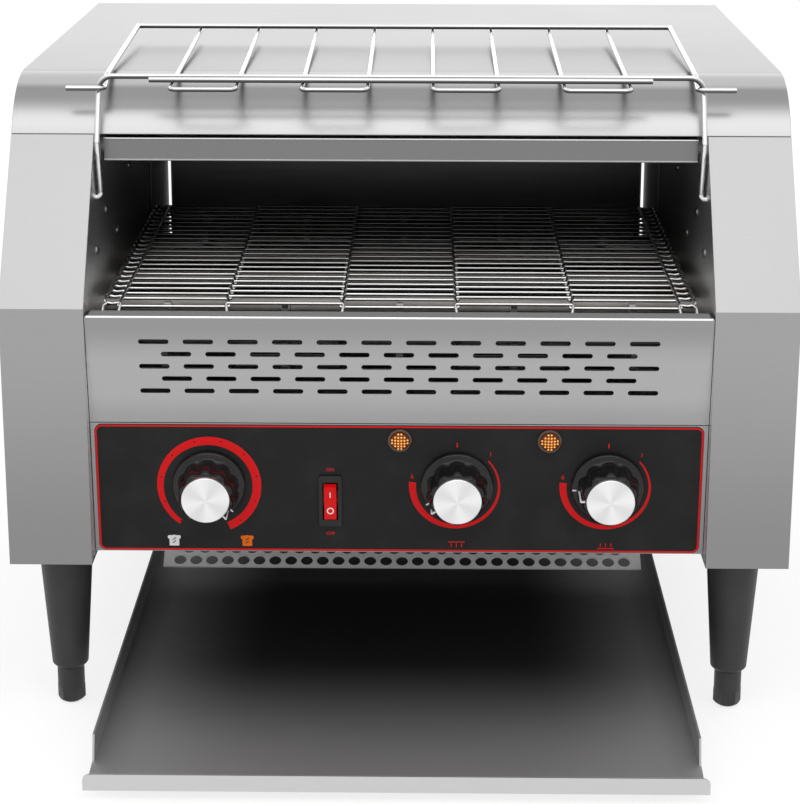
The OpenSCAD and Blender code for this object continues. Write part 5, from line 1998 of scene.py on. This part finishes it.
@dataclass
class Screws:
    """The casing's screw heads with their cross recesses.

    Attributes:
        head_mm: Radius of a head.
        rise_mm: Height of a head.
        bar_mm: Length, width and depth of each bar of the cross that cuts the recess.
        bar_rise_mm: Height of the bars' middle.
        under_mm: Side and height of the block that cuts a head flat underneath.
    """

    head_mm: float = 3.2
    rise_mm: float = 1.7
    bar_mm: Point = (3.6, 0.8, 1.9)
    bar_rise_mm: float = 1.75
    under_mm: tuple[float, float] = (9.0, 4.0)

    def build(self, model: Model) -> None:
        """Geometry Nodes set one crossed head on each screw of the casing.

        Args:
            model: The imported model.
        """
        spots = self._spots(model.nodes["casing_screws"].data)
        source = bpy.data.meshes.new("screw_places")
        source.from_pydata([place for place, _ in spots], [], [])
        normals = source.attributes.new("facing", "FLOAT_VECTOR", "POINT")
        normals.data.foreach_set("vector", [c for _, normal in spots for c in normal])
        tree = Tree("screw_heads", [
            ("Head radius", "NodeSocketFloat", self.head_mm * MM),
            ("Head height", "NodeSocketFloat", self.rise_mm * MM),
        ])
        head = self._head(tree)
        vector = {"data_type": "FLOAT_VECTOR"}
        facing = tree.node("GeometryNodeInputNamedAttribute", vector, {"Name": "facing"})
        turned = tree.node("FunctionNodeAlignEulerToVector", {"axis": "Z"}, {"Vector": facing})
        on_seats = {"Points": tree.given("Geometry"), "Instance": head, "Rotation": turned}
        heads = tree.node("GeometryNodeInstanceOnPoints", None, on_seats)
        steel = DrawnWire("screw_steel", grey(0.27), shine=0.3).make()
        piece = tree.run(source, "casing_screw_heads", heads, steel, 30.0)
        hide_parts("casing_screws")
        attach(piece, model.body_of["casing_screws"])
        log.info("screws: %d", len(spots))

    def _head(self, tree: Tree) -> Link:
        """One domed head, cut flat underneath and with its cross recess.

        Args:
            tree: The tree, with the sizes as inputs.

        Returns:
            The head, upright at the origin.
        """
        radius, height = tree.given("Head radius"), tree.given("Head height")
        ball = tree.node("GeometryNodeMeshUVSphere", None, {"Segments": 24, "Rings": 16, "Radius": 1.0})
        size = tree.node("ShaderNodeCombineXYZ", None, [radius, radius, height])
        head = tree.node("GeometryNodeTransform", None, {"Geometry": ball, "Scale": size})
        bar = tuple(c * MM for c in self.bar_mm)
        side, depth = (c * MM for c in self.under_mm)
        cutters = tree.node("GeometryNodeJoinGeometry")
        joined = cutters.socket.node.inputs[0]
        for block, rise, turn_deg in (
            (bar, self.bar_rise_mm * MM, 45),
            (bar, self.bar_rise_mm * MM, 135),
            ((side, side, depth), -depth / 2, 0),
        ):
            cube = tree.node("GeometryNodeMeshCube", None, {"Size": block})
            spot = {"Geometry": cube, "Translation": (0, 0, rise), "Rotation": (0, 0, math.radians(turn_deg))}
            tree.feed(joined, tree.node("GeometryNodeTransform", None, spot))
        both = {"Mesh 1": head, "Mesh 2": cutters}
        return tree.node("GeometryNodeMeshBoolean", {"operation": "DIFFERENCE"}, both)

    @staticmethod
    def _spots(mesh: bpy.types.Mesh) -> list[tuple[Vector, Vector]]:
        """Each CAD screw's seat and the way it faces, from its flat underside.

        Args:
            mesh: The CAD screws' mesh.

        Returns:
            The seat and the direction of each.
        """
        work = bmesh.new()
        work.from_mesh(mesh)
        bmesh.ops.remove_doubles(work, verts=work.verts, dist=1e-6)
        left, spots = set(work.verts), []
        while left:
            island, edge = set(), [left.pop()]
            while edge:
                vert = edge.pop()
                island.add(vert)
                near = {e.other_vert(vert) for e in vert.link_edges} & left
                left -= near
                edge += near
            faces = {f for v in island for f in v.link_faces}
            flats: dict[tuple[int, int, int], float] = {}
            for f in faces:
                key = tuple(round(c) for c in f.normal)
                if max(abs(c) for c in f.normal) > 0.999:
                    flats[key] = flats.get(key, 0.0) + f.calc_area()
            seat = Vector(max(flats, key=flats.get))
            low = max(v.co.dot(seat) for v in island)
            rim = [v.co for v in island if v.co.dot(seat) > low - 1e-5]
            centre = Vector((min(p[i] for p in rim) + max(p[i] for p in rim)) / 2 for i in range(3))
            spots.append((centre, -seat))
        work.free()
        return spots


def main() -> None:
    """Builds the studio and every dressed piece."""
    logging.basicConfig(level=logging.INFO, format="%(name)s: %(message)s")
    bpy.context.scene.view_settings.view_transform = "Standard"
    model = Model.load()
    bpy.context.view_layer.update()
    Studio().build(model)
    plane = PanelPlane.read(model)
    log.info("panel leans %.2f degrees", math.degrees(plane.lean))
    black = Moulded("knob_plastic", (0.008, 0.008, 0.009), 0.14, 0.7, 0.04, coat=0.4, gloss=0.12).make()
    white = Print("white_mark", grey(0.85)).make()
    Casing().build(model)
    Folds().build(model)
    Tray().build(model)
    WireBelt().build(model)
    for name, pointer_deg in POINTERS_DEG.items():
        Knob(name, pointer_deg).build(model, plane, black, white)
    Rocker().build(model, black, white)
    for name in ("upper_lamp", "lower_lamp"):
        Lamp(name).build(model, plane)
    Printing().build(model, plane)
    Running().build(model, black)
    Screws().build(model)


if __name__ == "__main__":
    main()
